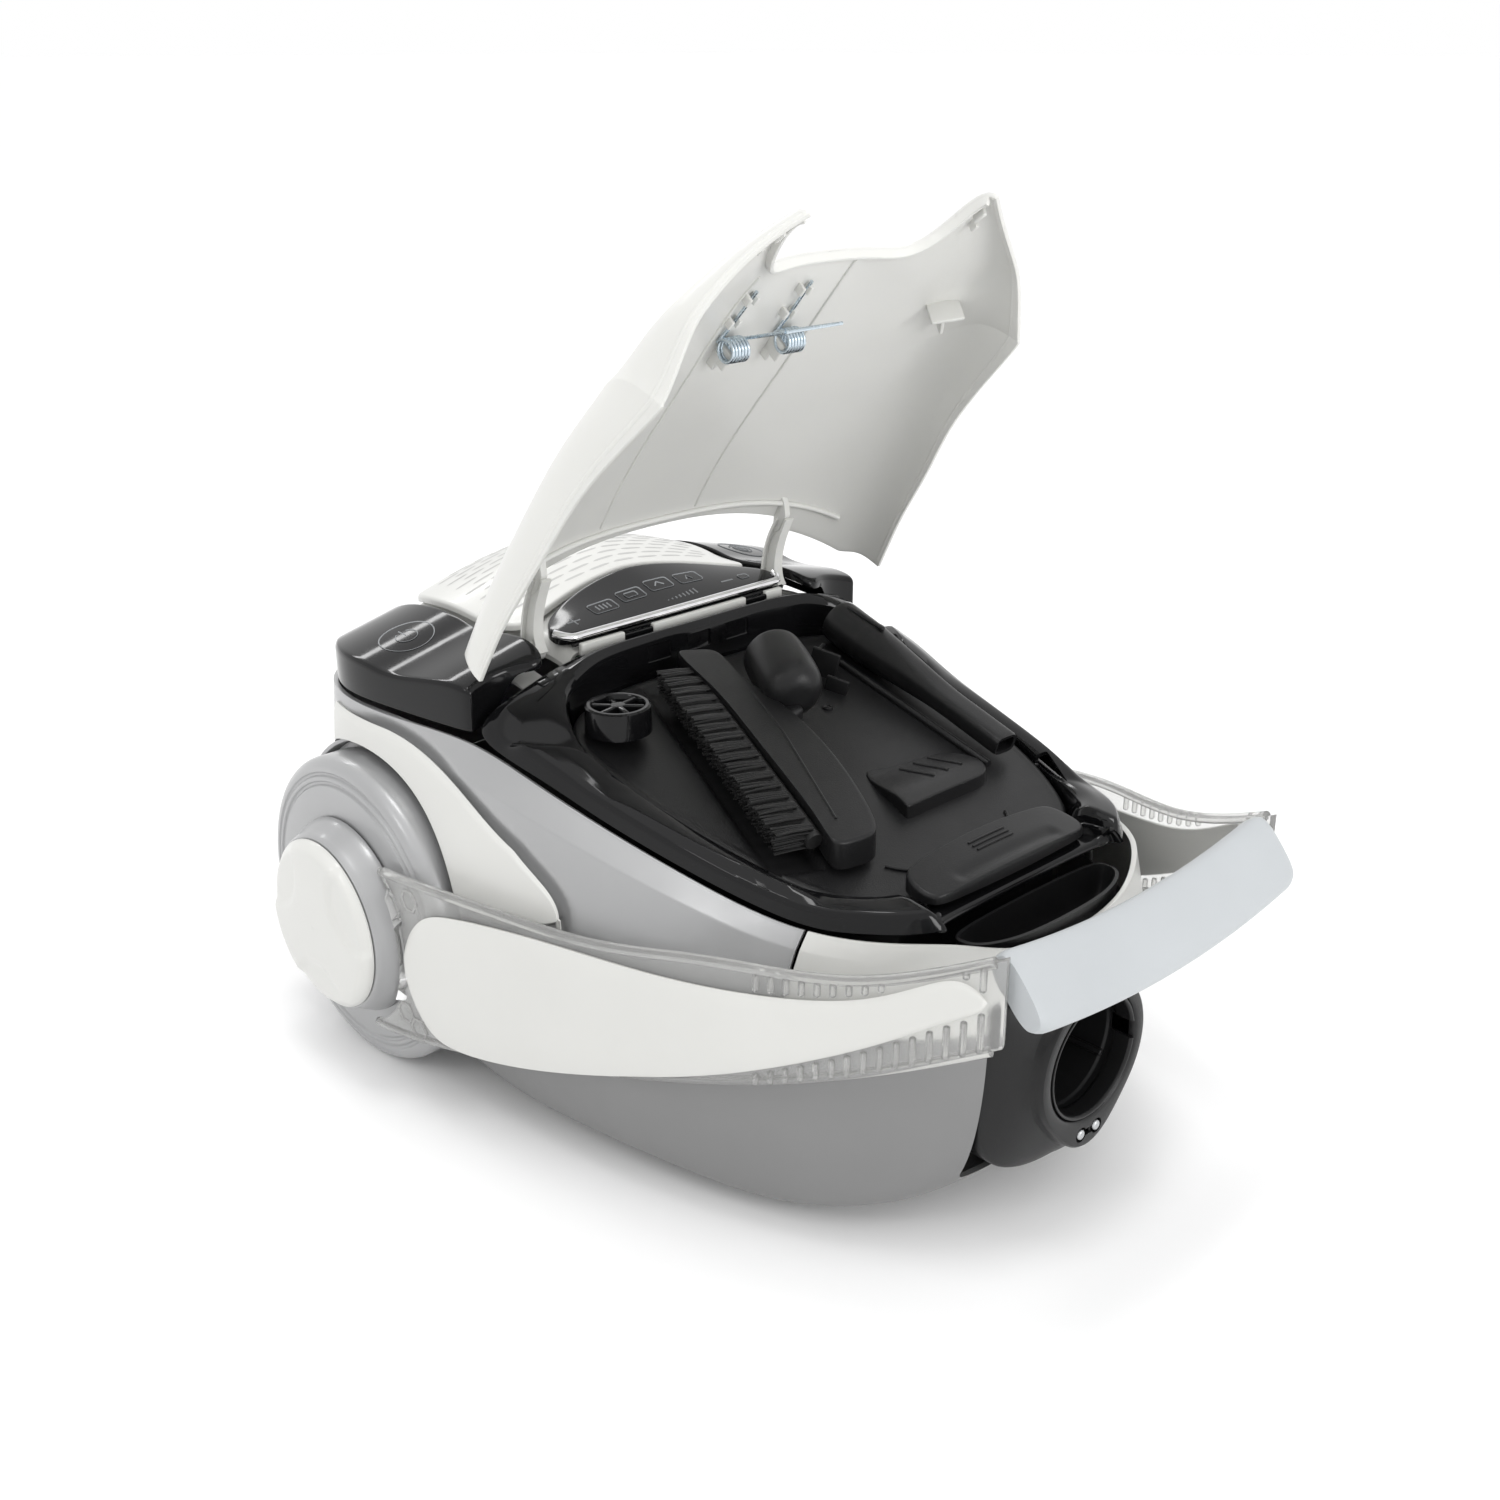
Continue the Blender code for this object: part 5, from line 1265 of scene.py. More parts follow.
def makeBezel():
    around = 180
    place, radius = port["place"], port["radius"]
    columns = []
    for k in range(around):
        angle = 2 * math.pi * k / around
        rim = Vector((math.cos(angle), 0, math.sin(angle)))
        tall = port["above"] if rim.z > 0 else port["below"]
        reach = (abs(rim.x / port["halfWidth"]) ** 4 + abs(rim.z / tall) ** 4) ** -0.25
        outer = Vector((0, 0, place.z)) + rim * reach
        bow = 9 * mm * (abs(outer.x) / port["halfWidth"]) ** 2
        lug = 8 * mm * max(0.0, -rim.z) ** 8
        collar = Vector((0, 0, place.z)) + rim * (port["collar"] + lug)
        # from the back edge forwards over the flare and collar, then into the bore
        section = ((outer, -164 * mm), (outer, mix(-164 * mm, -183 * mm + bow, 0.5)),
                   (outer - rim * 0.1 * mm, -182 * mm + bow),
                   (outer - rim * 0.6 * mm, -183 * mm + bow),
                   (outer - rim * 1.8 * mm, -183.6 * mm + bow * 0.95),
                   (outer.lerp(collar, 0.35), -185 * mm + 0.55 * bow),
                   (outer.lerp(collar, 0.7), -186.6 * mm + 0.22 * bow),
                   (collar + rim * 0.8 * mm, -187.6 * mm), (collar + rim * 0.2 * mm, -189 * mm),
                   (collar, -191 * mm), (collar - rim * 0.3 * mm, -192.8 * mm),
                   (collar - rim * 1.2 * mm, -193.8 * mm), (collar - rim * 2.2 * mm, -194 * mm),
                   (place + rim * (radius + 3.4 * mm), -194 * mm),
                   (place + rim * (radius + 2.1 * mm), -193.6 * mm),
                   (place + rim * (radius + 1.3 * mm), -192.6 * mm),
                   (place + rim * (radius + 1.1 * mm), -190.5 * mm))
        columns.append([(spot.x, y, spot.z) for spot, y in section])
    bezel = gridShell("hoseBezel", np.array(columns).transpose(1, 0, 2), (0, -0.12, 0.08), 1.6 * mm,
                      closed=True)
    # recess for the two powered-brush contacts: two round wells joined by a narrow slot
    contactX, contactZ = port["contactShift"], place.z - port["contactDrop"]
    knives = [drum("knife", 3.6 * mm, 5 * mm, (sign * contactX, -0.194, contactZ), (0, 1, 0))
              for _, sign in sides]
    knives.append(block("knife", (8 * mm, 5 * mm, 3.4 * mm), (0, -0.194, contactZ), 0.4 * mm))
    cut(bezel, knives)
    cup = [(3.7 * mm, 0), (3.7 * mm, -3.6 * mm), (0, -3.6 * mm), (0, -4.4 * mm),
           (4.4 * mm, -4.4 * mm), (4.4 * mm, -0.4 * mm)]
    wells = [lathe("well", cup, (sign * contactX, -0.1935, contactZ), (0, -1, 0), 48)
             for _, sign in sides]
    piece = joined("hoseBezel", [bezel] + wells)
    dress(piece, finish["bezelBlack"], "chassis", ["hose_bezel"])
    for side, sign in sides:
        pin = turned(f"contactPin_{side}",
                     [(0, -1.5), (2.5, -1.5), (2.5, 0.6), (1.9, 1.5), (0, 1.5)], 0.5,
                     (sign * contactX, -0.193, contactZ), (0, -1, 0), 48)
        dress(pin, finish["turnedSteel"], "chassis", [f"contact_pin_{side}"])


def makeSleeve():
    r, depth = port["radius"], 62 * mm
    profile = [(r + 0.8 * mm, -0.2 * mm), (r + 0.8 * mm, -depth), (r - 4.5 * mm, -depth),
               (r - 4.5 * mm, -depth + 26 * mm), (r - 1.0 * mm, -depth + 27 * mm),
               (r - 1.0 * mm, -14 * mm), (r - 0.2 * mm, -12.6 * mm), (r - 0.2 * mm, -10 * mm),
               (r - 0.9 * mm, -8.8 * mm), (r - 0.9 * mm, -1.4 * mm), (r - 0.2 * mm, -0.2 * mm)]
    sleeve = lathe("portSleeve", roundCorners(profile, 0.4 * mm, 3), port["place"], (0, -1, 0), 160)
    # locking notch for the hose end, at the right
    knife = block("knife", (6 * mm, 16 * mm, 9 * mm),
                  (port["place"].x + r, -0.190, port["place"].z + 2 * mm), 0.8 * mm)
    cut(sleeve, [knife])
    ribs = [sleeve]
    for k in range(3):
        angle = math.radians(90 + 120 * k)
        ribs.append(block("rib", (2.2 * mm, 20 * mm, 3 * mm),
                          (port["place"].x + (r - 2 * mm) * math.cos(angle), -0.172,
                           port["place"].z + (r - 2 * mm) * math.sin(angle)), 0.8 * mm,
                          Matrix.Rotation(-angle, 3, "Y")))
    dress(joined("portSleeve", ribs), finish["bezelBlack"], "chassis", ["port_sleeve"])


def makeLatchPocket():
    edge = points((0, -174, 0), (30, -172, 0), (47, -165, 0), (50, -158.5, 0), (42, -153.5, 0),
                  (0, -152, 0))
    outline = outlineLoop(edge, 50)
    middle = np.array((0, -163 * mm, 0))
    rows = []
    for scale, z in ((1.0, 142.4), (0.995, 141.4), (0.985, 136), (0.97, 129), (0.93, 125.4),
                     (0.86, 123.4), (0.78, 122.6), (0.4, 122.5), (0.0, 122.5)):
        ring = middle + (outline - middle) * scale
        ring[:, 2] = z * mm
        rows.append(ring)
    pocket = gridShell("latchPocket", np.array(rows), (0, -0.165, 0.24), -1.6 * mm, closed=True)
    dress(pocket, finish["satinBlack"], "chassis", ["latch_pocket"])


makeBezel()
makeSleeve()
makeLatchPocket()
print("hose port made")

# lid, drawn closed and then swung open about its hinge line
lidPivot = Vector((0, 86, 214)) * mm
lidOpen = math.radians(67)
lidEdge = points((133, 70, 189), (131.5, 50, 187), (129.5, 30, 184), (126, 0, 177.5),
                 (122, -28, 172), (118, -58, 162), (112.6, -88, 149), (111.4, -95, 147.3),
                 (108.5, -102, 148.3), (102, -120, 151.8), (94, -133, 154), (80, -148, 155),
                 (66, -161, 153), (57, -168.7, 150.4))
lidSpine = points((0, 42, 234), (0, 25, 232), (0, 5, 228.5), (0, -20, 222), (0, -45, 214),
                  (0, -70, 205.5), (0, -95, 197), (0, -115, 190), (0, -131, 184.5))
lidLook = {"lengthwise": 130, "across": 70, "wall": 2.2 * mm, "rearStep": 8 * mm}


def lidSurface():
    edge = softCurve(lidEdge, lidLook["lengthwise"])
    spine = softCurve(lidSpine, lidLook["lengthwise"])
    rows = []
    for k, (e, c) in enumerate(zip(edge, spine)):
        v = k / (lidLook["lengthwise"] - 1)
        power = 2 / (2.6 + 0.6 * math.exp(-((v - 0.55) / 0.22) ** 2))
        row = []
        for j in range(lidLook["across"]):
            angle = (j / (lidLook["across"] - 1)) ** 0.9 * math.pi / 2
            reach, height = math.sin(angle) ** power, max(math.cos(angle), 0) ** power
            slide = reach ** mix(2.2, 9, v)
            row.append((e[0] * reach, mix(c[1], e[1], slide), mix(e[2], c[2], height)))
        rows.append(row)
    grid = np.array(rows)
    # outside the hinge arms the rear edge reaches a little further back
    run = grid[0] - grid[3]
    run /= np.maximum(np.linalg.norm(run, axis=1, keepdims=True), 1e-9)
    for k in range(8):
        share = ((8 - k) / 8) * lidLook["rearStep"] * ease(83 * mm, 86 * mm, grid[k][:, 0])
        share = share * ease(133 * mm, 122 * mm, grid[k][:, 0])
        grid[k] += run * share[:, None] * 0.9
    return mirrorGrid(grid)


lidGrid = lidSurface()


def lidNormals():
    along = np.gradient(lidGrid, axis=0)
    across = np.gradient(lidGrid, axis=1)
    normal = np.cross(across, along)
    normal /= np.maximum(np.linalg.norm(normal, axis=2, keepdims=True), 1e-12)
    away = lidGrid - np.array((0, -0.06, 0.1))
    return normal * np.sign(np.sum(normal * away, axis=2, keepdims=True))


lidUp = lidNormals()


def lidSpot(x, y, inward=0.0):
    # a spot under the lid at plan position x, y in mm, with its along and inward directions
    line, ups = [], []
    for row, up in zip(lidGrid, lidUp):
        place = float(np.interp(x * mm, row[:, 0], np.arange(len(row))))
        k = min(int(place), len(row) - 2)
        line.append(mix(row[k], row[k + 1], place - k))
        ups.append(mix(up[k], up[k + 1], place - k))
    line, ups = np.array(line), np.array(ups)
    order = np.argsort(line[:, 1])
    place = float(np.interp(y * mm, line[order, 1], order.astype(float)))
    k = min(max(int(place), 0), len(line) - 2)
    spot = mix(line[k], line[k + 1], place - k)
    along = Vector(line[k] - line[k + 1]).normalized()
    down = -Vector(mix(ups[k], ups[k + 1], place - k)).normalized()
    return Vector(spot) + down * (lidLook["wall"] + inward), along, down


def lidBlock(x, y, size, bevel=0.4 * mm, twist=0.0):
    spot, along, down = lidSpot(x, y, size[2] / 2 - 0.5 * mm)
    side = along.cross(down).normalized()
    turn = Matrix((side, along, down)).transposed() @ Matrix.Rotation(twist, 3, "Z")
    return block("lidBlock", size, spot, bevel, turn)


def swingOpen(obj):
    if obj.modifiers:
        applyAll(obj)
    obj.data.transform(Matrix.Translation(lidPivot) @ Matrix.Rotation(-lidOpen, 4, "X")
                       @ Matrix.Translation(-lidPivot))
    return obj


def makeLid():
    skin = gridShell("lid", lidGrid, (0, -0.06, 0.1), lidLook["wall"], rim=0.5 * mm)
    extras = [skin]
    # rolled lip round the front cut-out and beads along the side edges
    last, up = lidGrid[-1], lidUp[-1]
    lipRows = []
    for depth in (0.4, 1.6, 3.2, 5.0, 5.7):
        lipRows.append([p - n * depth * mm for p, n in zip(last[4:-4], up[4:-4])])
    extras.append(gridShell("lip", np.array(lipRows), (0, 0.1, 0.1), 1.9 * mm, rim=0.5 * mm))
    for column in (1, -2):
        path = [Vector(p) - Vector(n) * 1.0 * mm
                for p, n in zip(lidGrid[2:-2, column], lidUp[2:-2, column])]
        extras.append(tube("bead", path, 1.5 * mm, 12))
    for _, sign in sides:
        extras.append(lidBlock(sign * 62, -158, (2.2 * mm, 7 * mm, 5 * mm), 0.8 * mm))
    # two fine ribs along the inside and a raised rail across the rear
    for x in (-42, 20):
        path = []
        for k in range(60):
            y = mix(34, -126, k / 59)
            path.append(lidSpot(x + 3 * math.sin(math.pi * k / 59), y, 0.1 * mm)[0])
        extras.append(tube("rib", path, 0.75 * mm, 10))
    rail = []
    for k in range(80):
        x = mix(-116, 116, k / 79)
        rail.append(lidSpot(x, 37 + 13 * (abs(x) / 116) ** 3, 1.0 * mm)[0])
    extras.append(tube("rail", rail, 1.5 * mm, 12))
    # clips, gussets and the side bracket
    for x, y in ((-37, -99), (-37, -113), (-3, -99), (-3, -113)):
        for shift in (-2.4, 2.4):
            extras.append(lidBlock(x + shift, y, (1.7 * mm, 4.5 * mm, 4.6 * mm)))
    for x in (-35, -2):
        extras.append(lidBlock(x + 3, -80, (2.2 * mm, 10 * mm, 9.5 * mm), bevel=0.8 * mm))
        extras.append(lidBlock(x + 3, -75, (2.2 * mm, 8 * mm, 5 * mm), bevel=0.8 * mm))
    for _, sign in sides:
        extras.append(lidBlock(sign * 92, -98, (16 * mm, 2 * mm, 12 * mm), bevel=0.6 * mm,
                               twist=sign * 0.5))
        extras.append(lidBlock(sign * 94, -92, (2 * mm, 12 * mm, 9 * mm), bevel=0.6 * mm,
                               twist=sign * 0.5))
        extras.append(lidBlock(sign * 66, -150, (2 * mm, 4 * mm, 4.6 * mm), bevel=0.6 * mm))
    lid = swingOpen(joined("lid", extras))
    dress(lid, finish["lidWhite"], "lid", ["lid_shell"])


def makeHingeArms():
    outer = softCurve(points((0, 91.5, 214), (0, 88, 219.5), (0, 78, 223.5), (0, 64, 225.5),
                             (0, 50, 224.2)), 40)
    inner = softCurve(points((0, 47, 218.8), (0, 60, 219.0), (0, 72, 217.2), (0, 80.5, 213),
                             (0, 84, 208.5)), 40)
    loop = [(p[1], p[2]) for p in np.concatenate([outer, inner])]
    for side, sign in sides:
        def place(u, v, w):
            return (sign * 80 * mm + w, u, v)

        shapes = [prism("web", loop, -1.3 * mm, 1.3 * mm, place)]
        for curve, wide in ((outer, 3.7), (inner, 2.9)):
            rows = [[(sign * 80 * mm + x * mm, p[1], p[2]) for p in curve]
                    for x in np.linspace(-wide, wide, 5)]
            shapes.append(gridShell("flange", np.array(rows), (0, 0.07, 0.2), 1.2 * mm))
        hinge = (sign * 80 * mm, lidPivot.y, lidPivot.z)
        shapes.append(turned("boss", [(2.3, -3), (5, -3), (5, 3), (2.3, 3)], 0.4, hinge, (1, 0, 0),
                             48))
        foot = [(36, 228.6), (50, 227.6), (60, 224.6), (56, 221), (46, 219.6), (40, 223)]
        shapes.append(prism("gusset", [(u * mm, v * mm) for u, v in foot], -1.9 * mm, 1.9 * mm,
                            place, 0.5 * mm))
        arm = swingOpen(joined(f"hingeArm_{side}", shapes))
        dress(arm, finish["lidWhite"], "lid", [f"hinge_arm_{side}"])
        pin = turned(f"hingePin_{side}", [(0, -4.5), (2, -4.5), (2, 4.5), (0, 4.5)], 0.4, hinge,
                     (1, 0, 0), 32)
        dress(pin, finish["turnedSteel"], "chassis", [f"hinge_pin_{side}"])


springLook = {"radius": 5.0 * mm, "wire": 0.8 * mm, "turns": 6, "long": 11 * mm, "reach": 31 * mm}


def makeLidSpring():
    look = springLook
    wires = []
    reach = Vector((0, -19.3, -27.7)).normalized() * look["reach"]
    bail = []
    perTurn = 28
    steps = look["turns"] * perTurn
    for x in (-31, 4):
        centre, along, down = lidSpot(x, -86, 6.5 * mm)
        clip = lidSpot(x - 5, -117, 1.6 * mm)[0]
        near = lidSpot(x - 5, -98, 1.9 * mm)[0]
        path = [clip, clip.lerp(near, 0.5), near]
        for k in range(steps + 1):
            angle = 2 * math.pi * k / perTurn + math.pi
            spin = (along * math.sin(angle) + down * math.cos(angle)) * look["radius"]
            path.append(centre + spin + Vector((look["long"] * (k / steps - 0.5), 0, 0)))
        end = path[-1]
        path += [end + reach * 0.1, end + reach * 0.5, end + reach]
        bail.append(end + reach)
        wires.append(tube("coil", path, look["wire"], 12))
    wires.append(tube("bail", [bail[0], bail[0].lerp(bail[1], 0.5), bail[1]], look["wire"], 12))
    spring = swingOpen(joined("lidSpring", wires))
    dress(spring, finish["zincWire"], "lid", ["lid_spring"], degrees=60)


makeLid()
makeHingeArms()
makeLidSpring()
print("lid made")


# inner cover with its tools
brushLook = {"rear": (-14, 38), "front": (-58, -92), "tufts": 17, "hairs": 30, "lanes": 6,
             "first": 4, "last": 128, "rootSpread": 0.62, "tipSpread": 1.02, "rootHeight": 6.0,
             "levelRise": 2.1, "droop": 0.8, "rootAcross": 8.5, "tipAcross": 27.6}


def brushFrame(along, across, height):
    # a spot given along the brush from its front end, across it and above the tray, in mm
    rear, front = Vector(brushLook["rear"]), Vector(brushLook["front"])
    run = (rear - front).normalized()
    side = Vector((-run.y, run.x))
    spot = front + run * along + side * across
    return onTray(spot.x, spot.y, height)


def trayTop(x, y):
    # the tray with a shallow sunk slot beside the brush
    rear, front = Vector(brushLook["rear"]) * mm, Vector(brushLook["front"]) * mm
    run = (rear - front).normalized()
    side = Vector((-run.y, run.x))
    rel = Vector((x, y)) - front
    u, w = rel.dot(run), rel.dot(side)
    sink = (ease(5 * mm, 8 * mm, w) * ease(33 * mm, 30 * mm, w) * ease(-6 * mm, -3 * mm, u)
            * ease(144 * mm, 140 * mm, u))
    return trayZ(y) - 3.2 * mm * float(sink)


def makeTray():
    half = np.array([(p[0] - trayLook["clearance"] * (p[0] > 0),
                      p[1] - math.copysign(trayLook["clearance"], p[1] + 0.04), 0)
                     for p in deckInner[::-1]])
    outline = outlineLoop(half, 170)
    middle = np.array((0, -40 * mm, 0))
    rows = []
    for scale, drop in ((1.0, 7.5), (1.0, 4), (1.0, 1.5), (0.998, 0.7), (0.994, 0.2)):
        rows.append([(p[0], p[1], trayZ(p[1]) - drop * mm)
                     for p in middle + (outline - middle) * scale])
    # a fine raised line just inside the rim
    for k in range(90):
        scale = 0.988 * (1 - k / 89)
        rise = 0.5 * mm * math.exp(-((scale - 0.972) / 0.006) ** 2)
        rows.append([(p[0], p[1], trayTop(p[0], p[1]) + rise)
                     for p in middle + (outline - middle) * scale])
    tray = gridShell("trayCover", np.array(rows), (0, -0.04, 0.06), 1.8 * mm, closed=True)
    extras = [tray]
    wedge = softCurve(points((2, -56, 0), (14, -55, 0), (36, -58, 0), (52, -62, 0), (57, -74, 0),
                             (52, -86, 0), (34, -88, 0), (10, -88, 0), (-4, -88, 0), (-4, -80, 0)),
                      90, closed=True)

    def wedgeTop(x, y):
        return trayZ(y) + mix(0.8, 6.8, float(ease(-54 * mm, -84 * mm, y))) * mm

    ramp = padShell("wedge", wedge, wedgeTop, lambda x, y: trayZ(y) - 1.0 * mm, 1.2 * mm, rings=16)
    extras.append(ramp)
    for x in (20, 30, 40):
        line = []
        for k in range(8):
            ridgeX, ridgeY = (x + k * 0.75) * mm, (-60 - k * 2.4) * mm
            line.append(Vector((ridgeX, ridgeY, wedgeTop(ridgeX, ridgeY) + 0.1 * mm)))
        extras.append(tube("ridge", line, 0.8 * mm, 10))
    turn = Matrix.Rotation(0.5, 3, "Z") @ Matrix.Rotation(0.25, 3, "X")
    extras.append(block("clip", (2.2 * mm, 15 * mm, 15 * mm), onTray(49, 18, 6.5), 0.8 * mm, turn))
    extras.append(block("clip", (9 * mm, 2.2 * mm, 13 * mm), onTray(53, 25.5, 5.5), 0.8 * mm, turn))
    extras.append(block("clip", (2.0 * mm, 12 * mm, 8 * mm), onTray(44, 4, 3.5), 0.7 * mm, turn))
    # cradle walls for the narrow tool, a screw boss and a raised crescent by the latch
    for x0, y0, x1, y1 in ((64, -78, 66, 30), (88, -62, 96, 0)):
        run = [onTray(mix(x0, x1, k / 9), mix(y0, y1, k / 9), 1.2) for k in range(10)]
        extras.append(tube("cradle", run, 2.0 * mm, 14))
    extras.append(turned("boss", [(0, -1), (3, -1), (3, 0.8), (1.8, 0.8), (1.6, 0.1), (0, 0.1)],
                         0.3, onTray(29, -4, 0), (0, 0, 1), 40))
    crescent = []
    for k in range(40):
        angle = math.radians(200 + 140 * k / 39)
        x, y = 44 * math.cos(angle), -98 + 26 * math.sin(angle)
        crescent.append(onTray(x, y, 0.4))
    extras.append(tube("crescent", crescent, 0.9 * mm, 10))
    dress(joined("trayCover", extras), finish["satinBlack"], "inner_cover", ["tray_cover"])


def makeLatch():
    edge = points((0, -147.5, 0), (36, -146.5, 0), (52, -142, 0), (51, -128, 0), (38, -123.5, 0),
                  (0, -122.5, 0))

    def top(x, y):
        dish = 1.2 * mm * math.exp(-((y + 0.141) / 0.003) ** 2) * float(ease(0.036, 0.030, abs(x)))
        return 162.5 * mm + 0.22 * (y + 132 * mm) - 3.0 * mm * (x / (52 * mm)) ** 2 - dish

    flap = padShell("latchFlap", outlineLoop(edge, 80), top, lambda x, y: 153 * mm, 2 * mm,
                    rings=34)
    bars = [flap]
    for k in range(3):
        y = (-128.5 - 2.6 * k) * mm
        bars.append(tube("ridge", [Vector((x * mm, y, top(x * mm, y) + 0.1 * mm))
                                   for x in range(-12, 13, 3)], 0.55 * mm, 10))
    dress(joined("latchFlap", bars), finish["satinBlack"], "front_flap", ["latch_flap"])


def makeValveCap():
    base = onTray(-82, 22, 4.6)
    profile = [(0, 8.2), (9.5, 8.2), (11.6, 8.4), (12.2, 12.2), (12.8, 13), (14.2, 13),
               (15.2, 12.2), (15.4, 6), (15.5, 0), (12.5, 0), (12.5, 6.4), (0, 6.4)]
    bars = [lathe("valveCap", [(r * mm, h * mm) for r, h in profile], base, (0, 0, 1), 128)]
    for k in range(3):
        bars.append(block("spoke", (24.6 * mm, 2.6 * mm, 4.4 * mm), base + Vector((0, 0, 10.4 * mm)),
                          0.7 * mm, Matrix.Rotation(math.radians(60 * k + 12), 3, "Z")))
    bars.append(turned("knob", [(0, 8), (3.6, 8), (3.6, 12.7), (0, 12.7)], 0.6, base, (0, 0, 1),
                       48))
    dress(joined("valveCap", bars), finish["pianoBlack"], "valve_cap", ["relief_valve_cap"])


def makeBrush():
    # slim bar with one bowed side, running into a hollow neck
    edge = [(-25, 44), (-16, 45), (-6, 38), (-10, 18), (-10, -2), (-11, -24), (-17, -50),
            (-27, -76), (-38, -97), (-46, -104), (-56, -104), (-66, -100), (-60, -82),
            (-48, -46), (-38, -14), (-30, 16)]
    outline = softCurve([(x * mm, y * mm, 0) for x, y in edge], 160, closed=True)

    def top(x, y):
        return trayZ(y) + 16.5 * mm

    bar = padShell("brushBody", outline, top, lambda x, y: trayZ(y) + 3.6 * mm, 1.6 * mm,
                   rings=18, floorDrop=11 * mm)
    shapes = [bar]
    path = [brushFrame(u, -9.5 + 0.10 * max(70 - u, 0), 16.4) for u in range(4, 108, 4)]
    shapes.append(tube("line", path, 0.7 * mm, 10))
    # neck: a rounded hollow cup lying on the bar
    axis = Vector((0.42, 0.88, 0.21)).normalized()
    start = onTray(2, -6, 19)
    outside = [(0, -11), (6.5, -10.4), (11.6, -7.6), (14.6, -2.6), (15.5, 4), (15.7, 12),
               (15.5, 23), (15.0, 28.6)]
    inside = [(14.2, 30), (12.9, 29.4), (12.4, 20), (12, 8), (0, 8)]
    smooth = [(r if r > 1e-5 else 0, h)
              for r, h in softCurve([(r * mm, h * mm) for r, h in outside], 40)]
    shapes.append(lathe("neck", smooth + [(r * mm, h * mm) for r, h in inside], start, axis))
    shapes.append(block("web", (14 * mm, 22 * mm, 9 * mm), onTray(-9, -8, 9), 3 * mm,
                        Matrix.Rotation(0.3, 3, "Z"), segments=5))
    dress(joined("brushBody", shapes), finish["satinBlack"], "dusting_brush", ["brush_body"])


def makeBristles():
    random.seed(7)
    look = brushLook
    verts, faces = [], []
    for tuft in range(look["tufts"]):
        centre = mix(look["first"], look["last"], tuft / (look["tufts"] - 1))
        for hair in range(look["hairs"]):
            level, lane = divmod(hair, look["lanes"])
            shift = lane - (look["lanes"] - 1) / 2
            rootAlong = centre + shift * look["rootSpread"] + random.uniform(-0.1, 0.1)
            rootHeight = look["rootHeight"] + level * look["levelRise"] + random.uniform(-0.2, 0.2)
            tipAlong = centre + shift * look["tipSpread"] + random.uniform(-0.25, 0.25)
            tipHeight = rootHeight - look["droop"] + random.uniform(-0.5, 0.5)
            tipAcross = look["tipAcross"] + random.uniform(-0.8, 0.9)
            a = brushFrame(rootAlong, look["rootAcross"], rootHeight)
            b = brushFrame(tipAlong, tipAcross, tipHeight)
            mid = a.lerp(b, 0.5) + Vector((0, 0, 0.3 * mm))
            along = (b - a).normalized()
            side = along.orthogonal().normalized()
            up = along.cross(side)
            base = len(verts)
            for spot, size in ((a, 0.50), (mid, 0.50), (b, 0.42)):
                for k in range(4):
                    angle = math.pi / 2 * k
                    verts.append(spot + (side * math.cos(angle) + up * math.sin(angle))
                                 * size * mm)
            for ring in (0, 4):
                for k in range(4):
                    n = (k + 1) % 4
                    faces.append((base + ring + k, base + ring + n, base + ring + 4 + n,
                                  base + ring + 4 + k))
            faces.append((base + 8, base + 9, base + 10, base + 11))
            faces.append((base + 3, base + 2, base + 1, base))
    hairs = newMesh("bristles", verts, faces)
    dress(hairs, finish["bristleBlack"], "dusting_brush", ["brush_bristles"])
    rail = [brushFrame(u, 9.2, 9.5) for u in range(0, 134, 4)]
    strip = tube("bristleRail", rail, 4.2 * mm, 14, False, 0.8)
    dress(strip, finish["bristleBlack"], "dusting_brush", ["brush_bristles"])


# half widths and heights in mm at the mouth and at the wide end, and the ring's place
creviceLook = {"mouth": (74, -80, 9.5), "end": (80.5, 38, 12.5), "wide": (7.3, 11.6),
               "tall": (5.2, 11.4), "ringAt": 0.80, "ringWidth": 0.012, "ringRise": 0.5 * mm}


def makeCreviceTool():
    look = creviceLook
    a, b = onTray(*look["mouth"]), onTray(*look["end"])
    run = b - a
    count, around = 60, 48
    side = run.cross(Vector((0, 0, 1))).normalized()
    up = side.cross(run).normalized()
    verts = []
    for k in range(count):
        t = k / (count - 1)
        wide = mix(*look["wide"], float(ease(0.25, 0.9, t))) * mm
        tall = mix(*look["tall"], float(ease(0.3, 0.85, t))) * mm
        ring = look["ringRise"] * math.exp(-((t - look["ringAt"]) / look["ringWidth"]) ** 2)
        wide, tall = wide + ring, tall + ring
        if k in (0, count - 1):
            wide, tall = wide * 0.95, tall * 0.95
        square = mix(0.55, 1.0, float(ease(0.3, 0.8, t)))
        for m in range(around):
            angle = 2 * math.pi * m / around
            c, s = math.cos(angle), math.sin(angle)
            verts.append(a + run * t + side * math.copysign(abs(c) ** square, c) * wide
                         + up * math.copysign(abs(s) ** square, s) * tall)
    faces = gridFaces(count, around, closed=True)
    skin = tidyNormals(newMesh("creviceTool", verts, faces), a.lerp(b, 0.5))
    thicken(skin, 1.6 * mm)
    extras = [skin, block("key", (3 * mm, 26 * mm, 2 * mm), onTray(79.4, 18, 24.0), 0.8 * mm,
                          Matrix.Rotation(0.25, 3, "X"))]
    dress(joined("creviceTool", extras), finish["satinBlack"], "crevice_nozzle", ["crevice_tool"])


makeTray()
makeLatch()
makeValveCap()
makeBrush()
makeBristles()
makeCreviceTool()
print("tray and tools made")

# caster and running gear that is mostly out of sight
casterSpot = Vector((0, -92, 11)) * mm


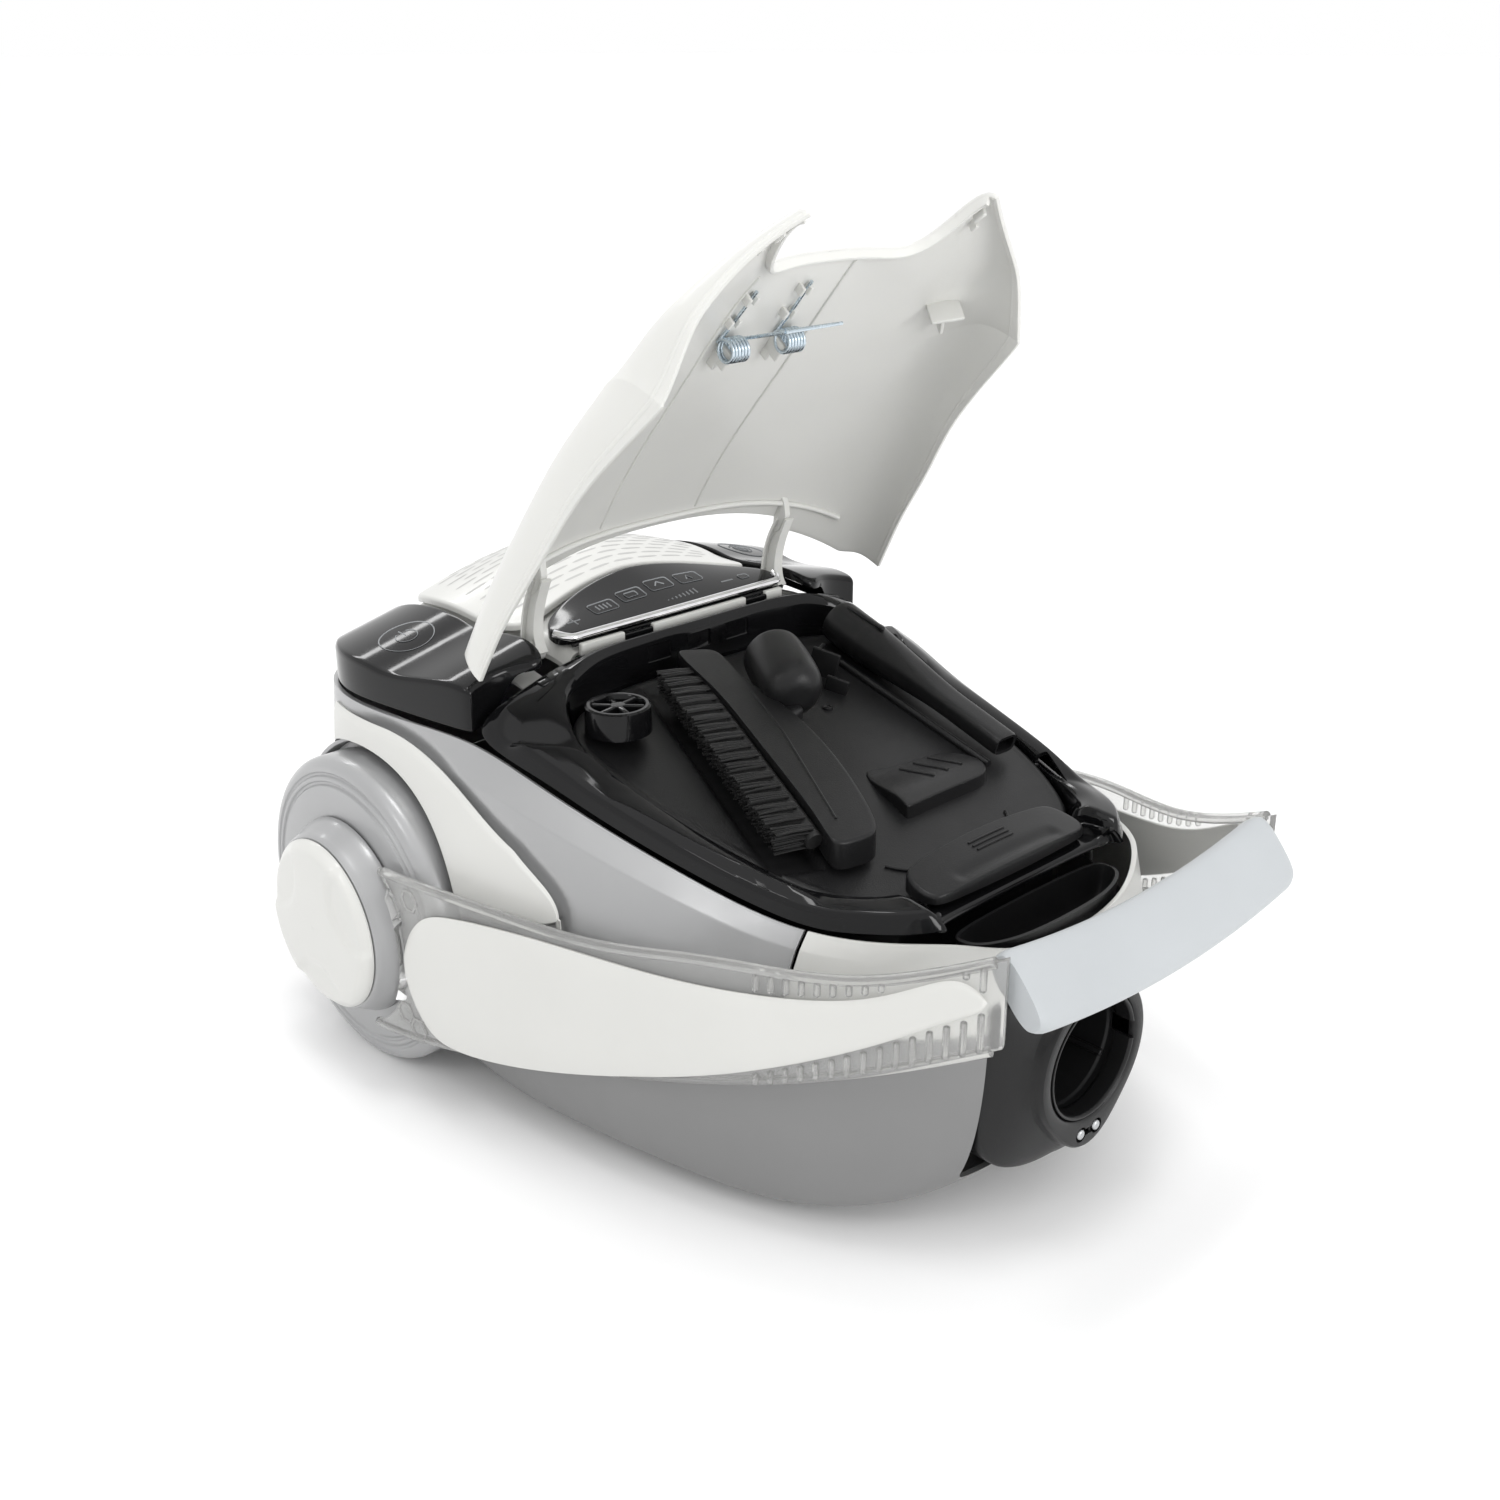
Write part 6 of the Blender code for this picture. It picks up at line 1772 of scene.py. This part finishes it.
def makeCaster():
    profile = [(21.6, 26), (21.6, 5.4), (20.8, 5), (20, 5.8), (20, 24), (3.6, 24), (3.6, 26)]
    socket = lathe("casterSocket", [(r * mm, h * mm) for r, h in profile], casterSpot, (0, 0, 1),
                   128)
    dress(socket, finish["silverPaint"], "chassis", ["caster_socket"])
    top = casterSpot.z + 21 * mm
    shapes = [turned("casterFork", [(0, -2), (17, -2), (17, 2), (3.2, 2), (3.2, 6.3), (0, 6.3)], 0.6,
                     (0, casterSpot.y, top), (0, 0, 1))]
    for _, sign in sides:
        cheek = prism("cheek", [(-7, 0), (7, 0), (6.4, -14), (4.6, -19), (2.6, -22.6),
                                (0, -23.6), (-2.6, -22.6), (-4.6, -19), (-6.4, -14)],
                      -1.2, 1.2,
                      lambda u, v, w: (sign * 8.6 * mm + w * mm, casterSpot.y + u * mm,
                                       top + v * mm))
        shapes.append(cheek)
        shapes.append(turned("eye", [(1.8, 0), (4, 0), (4, 2.2), (1.8, 2.2)], 0.4,
                             (sign * 8.2 * mm, casterSpot.y, casterSpot.z), (sign, 0, 0), 48))
    dress(joined("casterFork", shapes), finish["satinBlack"], "caster_swivel_body",
          ["caster_fork"])
    tread = [(0, 9.4), (1.5, 9.4), (1.5, 6), (7, 6), (7.6, 5), (8.8, 5), (9.4, 6), (10.2, 5.8),
             (11, 4.8), (11, 1), (10.7, 0), (11, -1), (11, -4.8), (10.2, -5.8), (9.4, -6),
             (8.8, -5), (7.6, -5), (7, -6), (1.5, -6), (1.5, -9.4), (0, -9.4)]
    roller = lathe("casterWheel", [(r * mm, h * mm) for r, h in tread], casterSpot, (1, 0, 0), 96)
    dress(roller, finish["rubberBlack"], "caster_roller", ["caster_wheel"])


def makeWells():
    outer = wheelLook["radius"] + 5.2 * mm
    for side, sign in sides:
        profile = [(6.4 * mm, -5 * mm), (outer, -5 * mm), (outer, 5 * mm), (outer - 2.2 * mm, 5 * mm),
                   (outer - 2.2 * mm, -2.6 * mm), (26 * mm, -3 * mm), (24 * mm, -1.4 * mm),
                   (14 * mm, -1.4 * mm), (13 * mm, 0.2 * mm), (6.4 * mm, 0.2 * mm)]
        well = lathe(f"wheelWell_{side}", roundCorners(profile, 0.5 * mm, 3),
                     (sign * 131 * mm, axle.y, axle.z), (sign, 0, 0), 128)
        cut(well, [block("knife", (0.06, 0.24, 0.06), (sign * 0.13, 0.142, -0.005))])
        dress(well, finish["silverPaint"], "chassis", [f"wheel_well_{side}"])
        stub = turned(f"axle_{side}", [(0, -21), (6, -21), (6, 21), (0, 21)], 0.8,
                      (sign * 141 * mm, axle.y, axle.z), (1, 0, 0), 64)
        dress(stub, finish["turnedSteel"], "chassis", [f"axle_{side}"])


def makeOutlet():
    outlet = turned("cordOutlet", [(9, 4.5), (9, -6), (5, -6), (5, 3.4), (6.2, 5.5), (8.2, 5.5)],
                    0.6, outletSpot, (0, 1, 0))
    dress(outlet, finish["satinBlack"], "chassis", ["cord_outlet"])


makeCaster()
makeWells()
makeOutlet()
print("caster, wells and cord outlet made")

# carried-over pieces inside the body keep their shape and get a material of their own
insideLooks = {"dust_chamber": "satinBlack", "chamber_seal": "rubberBlack",
               "dust_bag": "filterCloth", "bag_collar": "whiteGloss",
               "motor_filter": "filterCloth", "motor_housing": "satinBlack",
               "motor": "castAlloy", "fan_wheel": "castAlloy", "cord_reel": "satinBlack",
               "exhaust_filter": "filterCloth", "circuit_board": "boardGreen"}
for name, look in insideLooks.items():
    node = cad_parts[name]
    node.data.materials.clear()
    node.data.materials.append(finish[look])
print("inside pieces dressed")
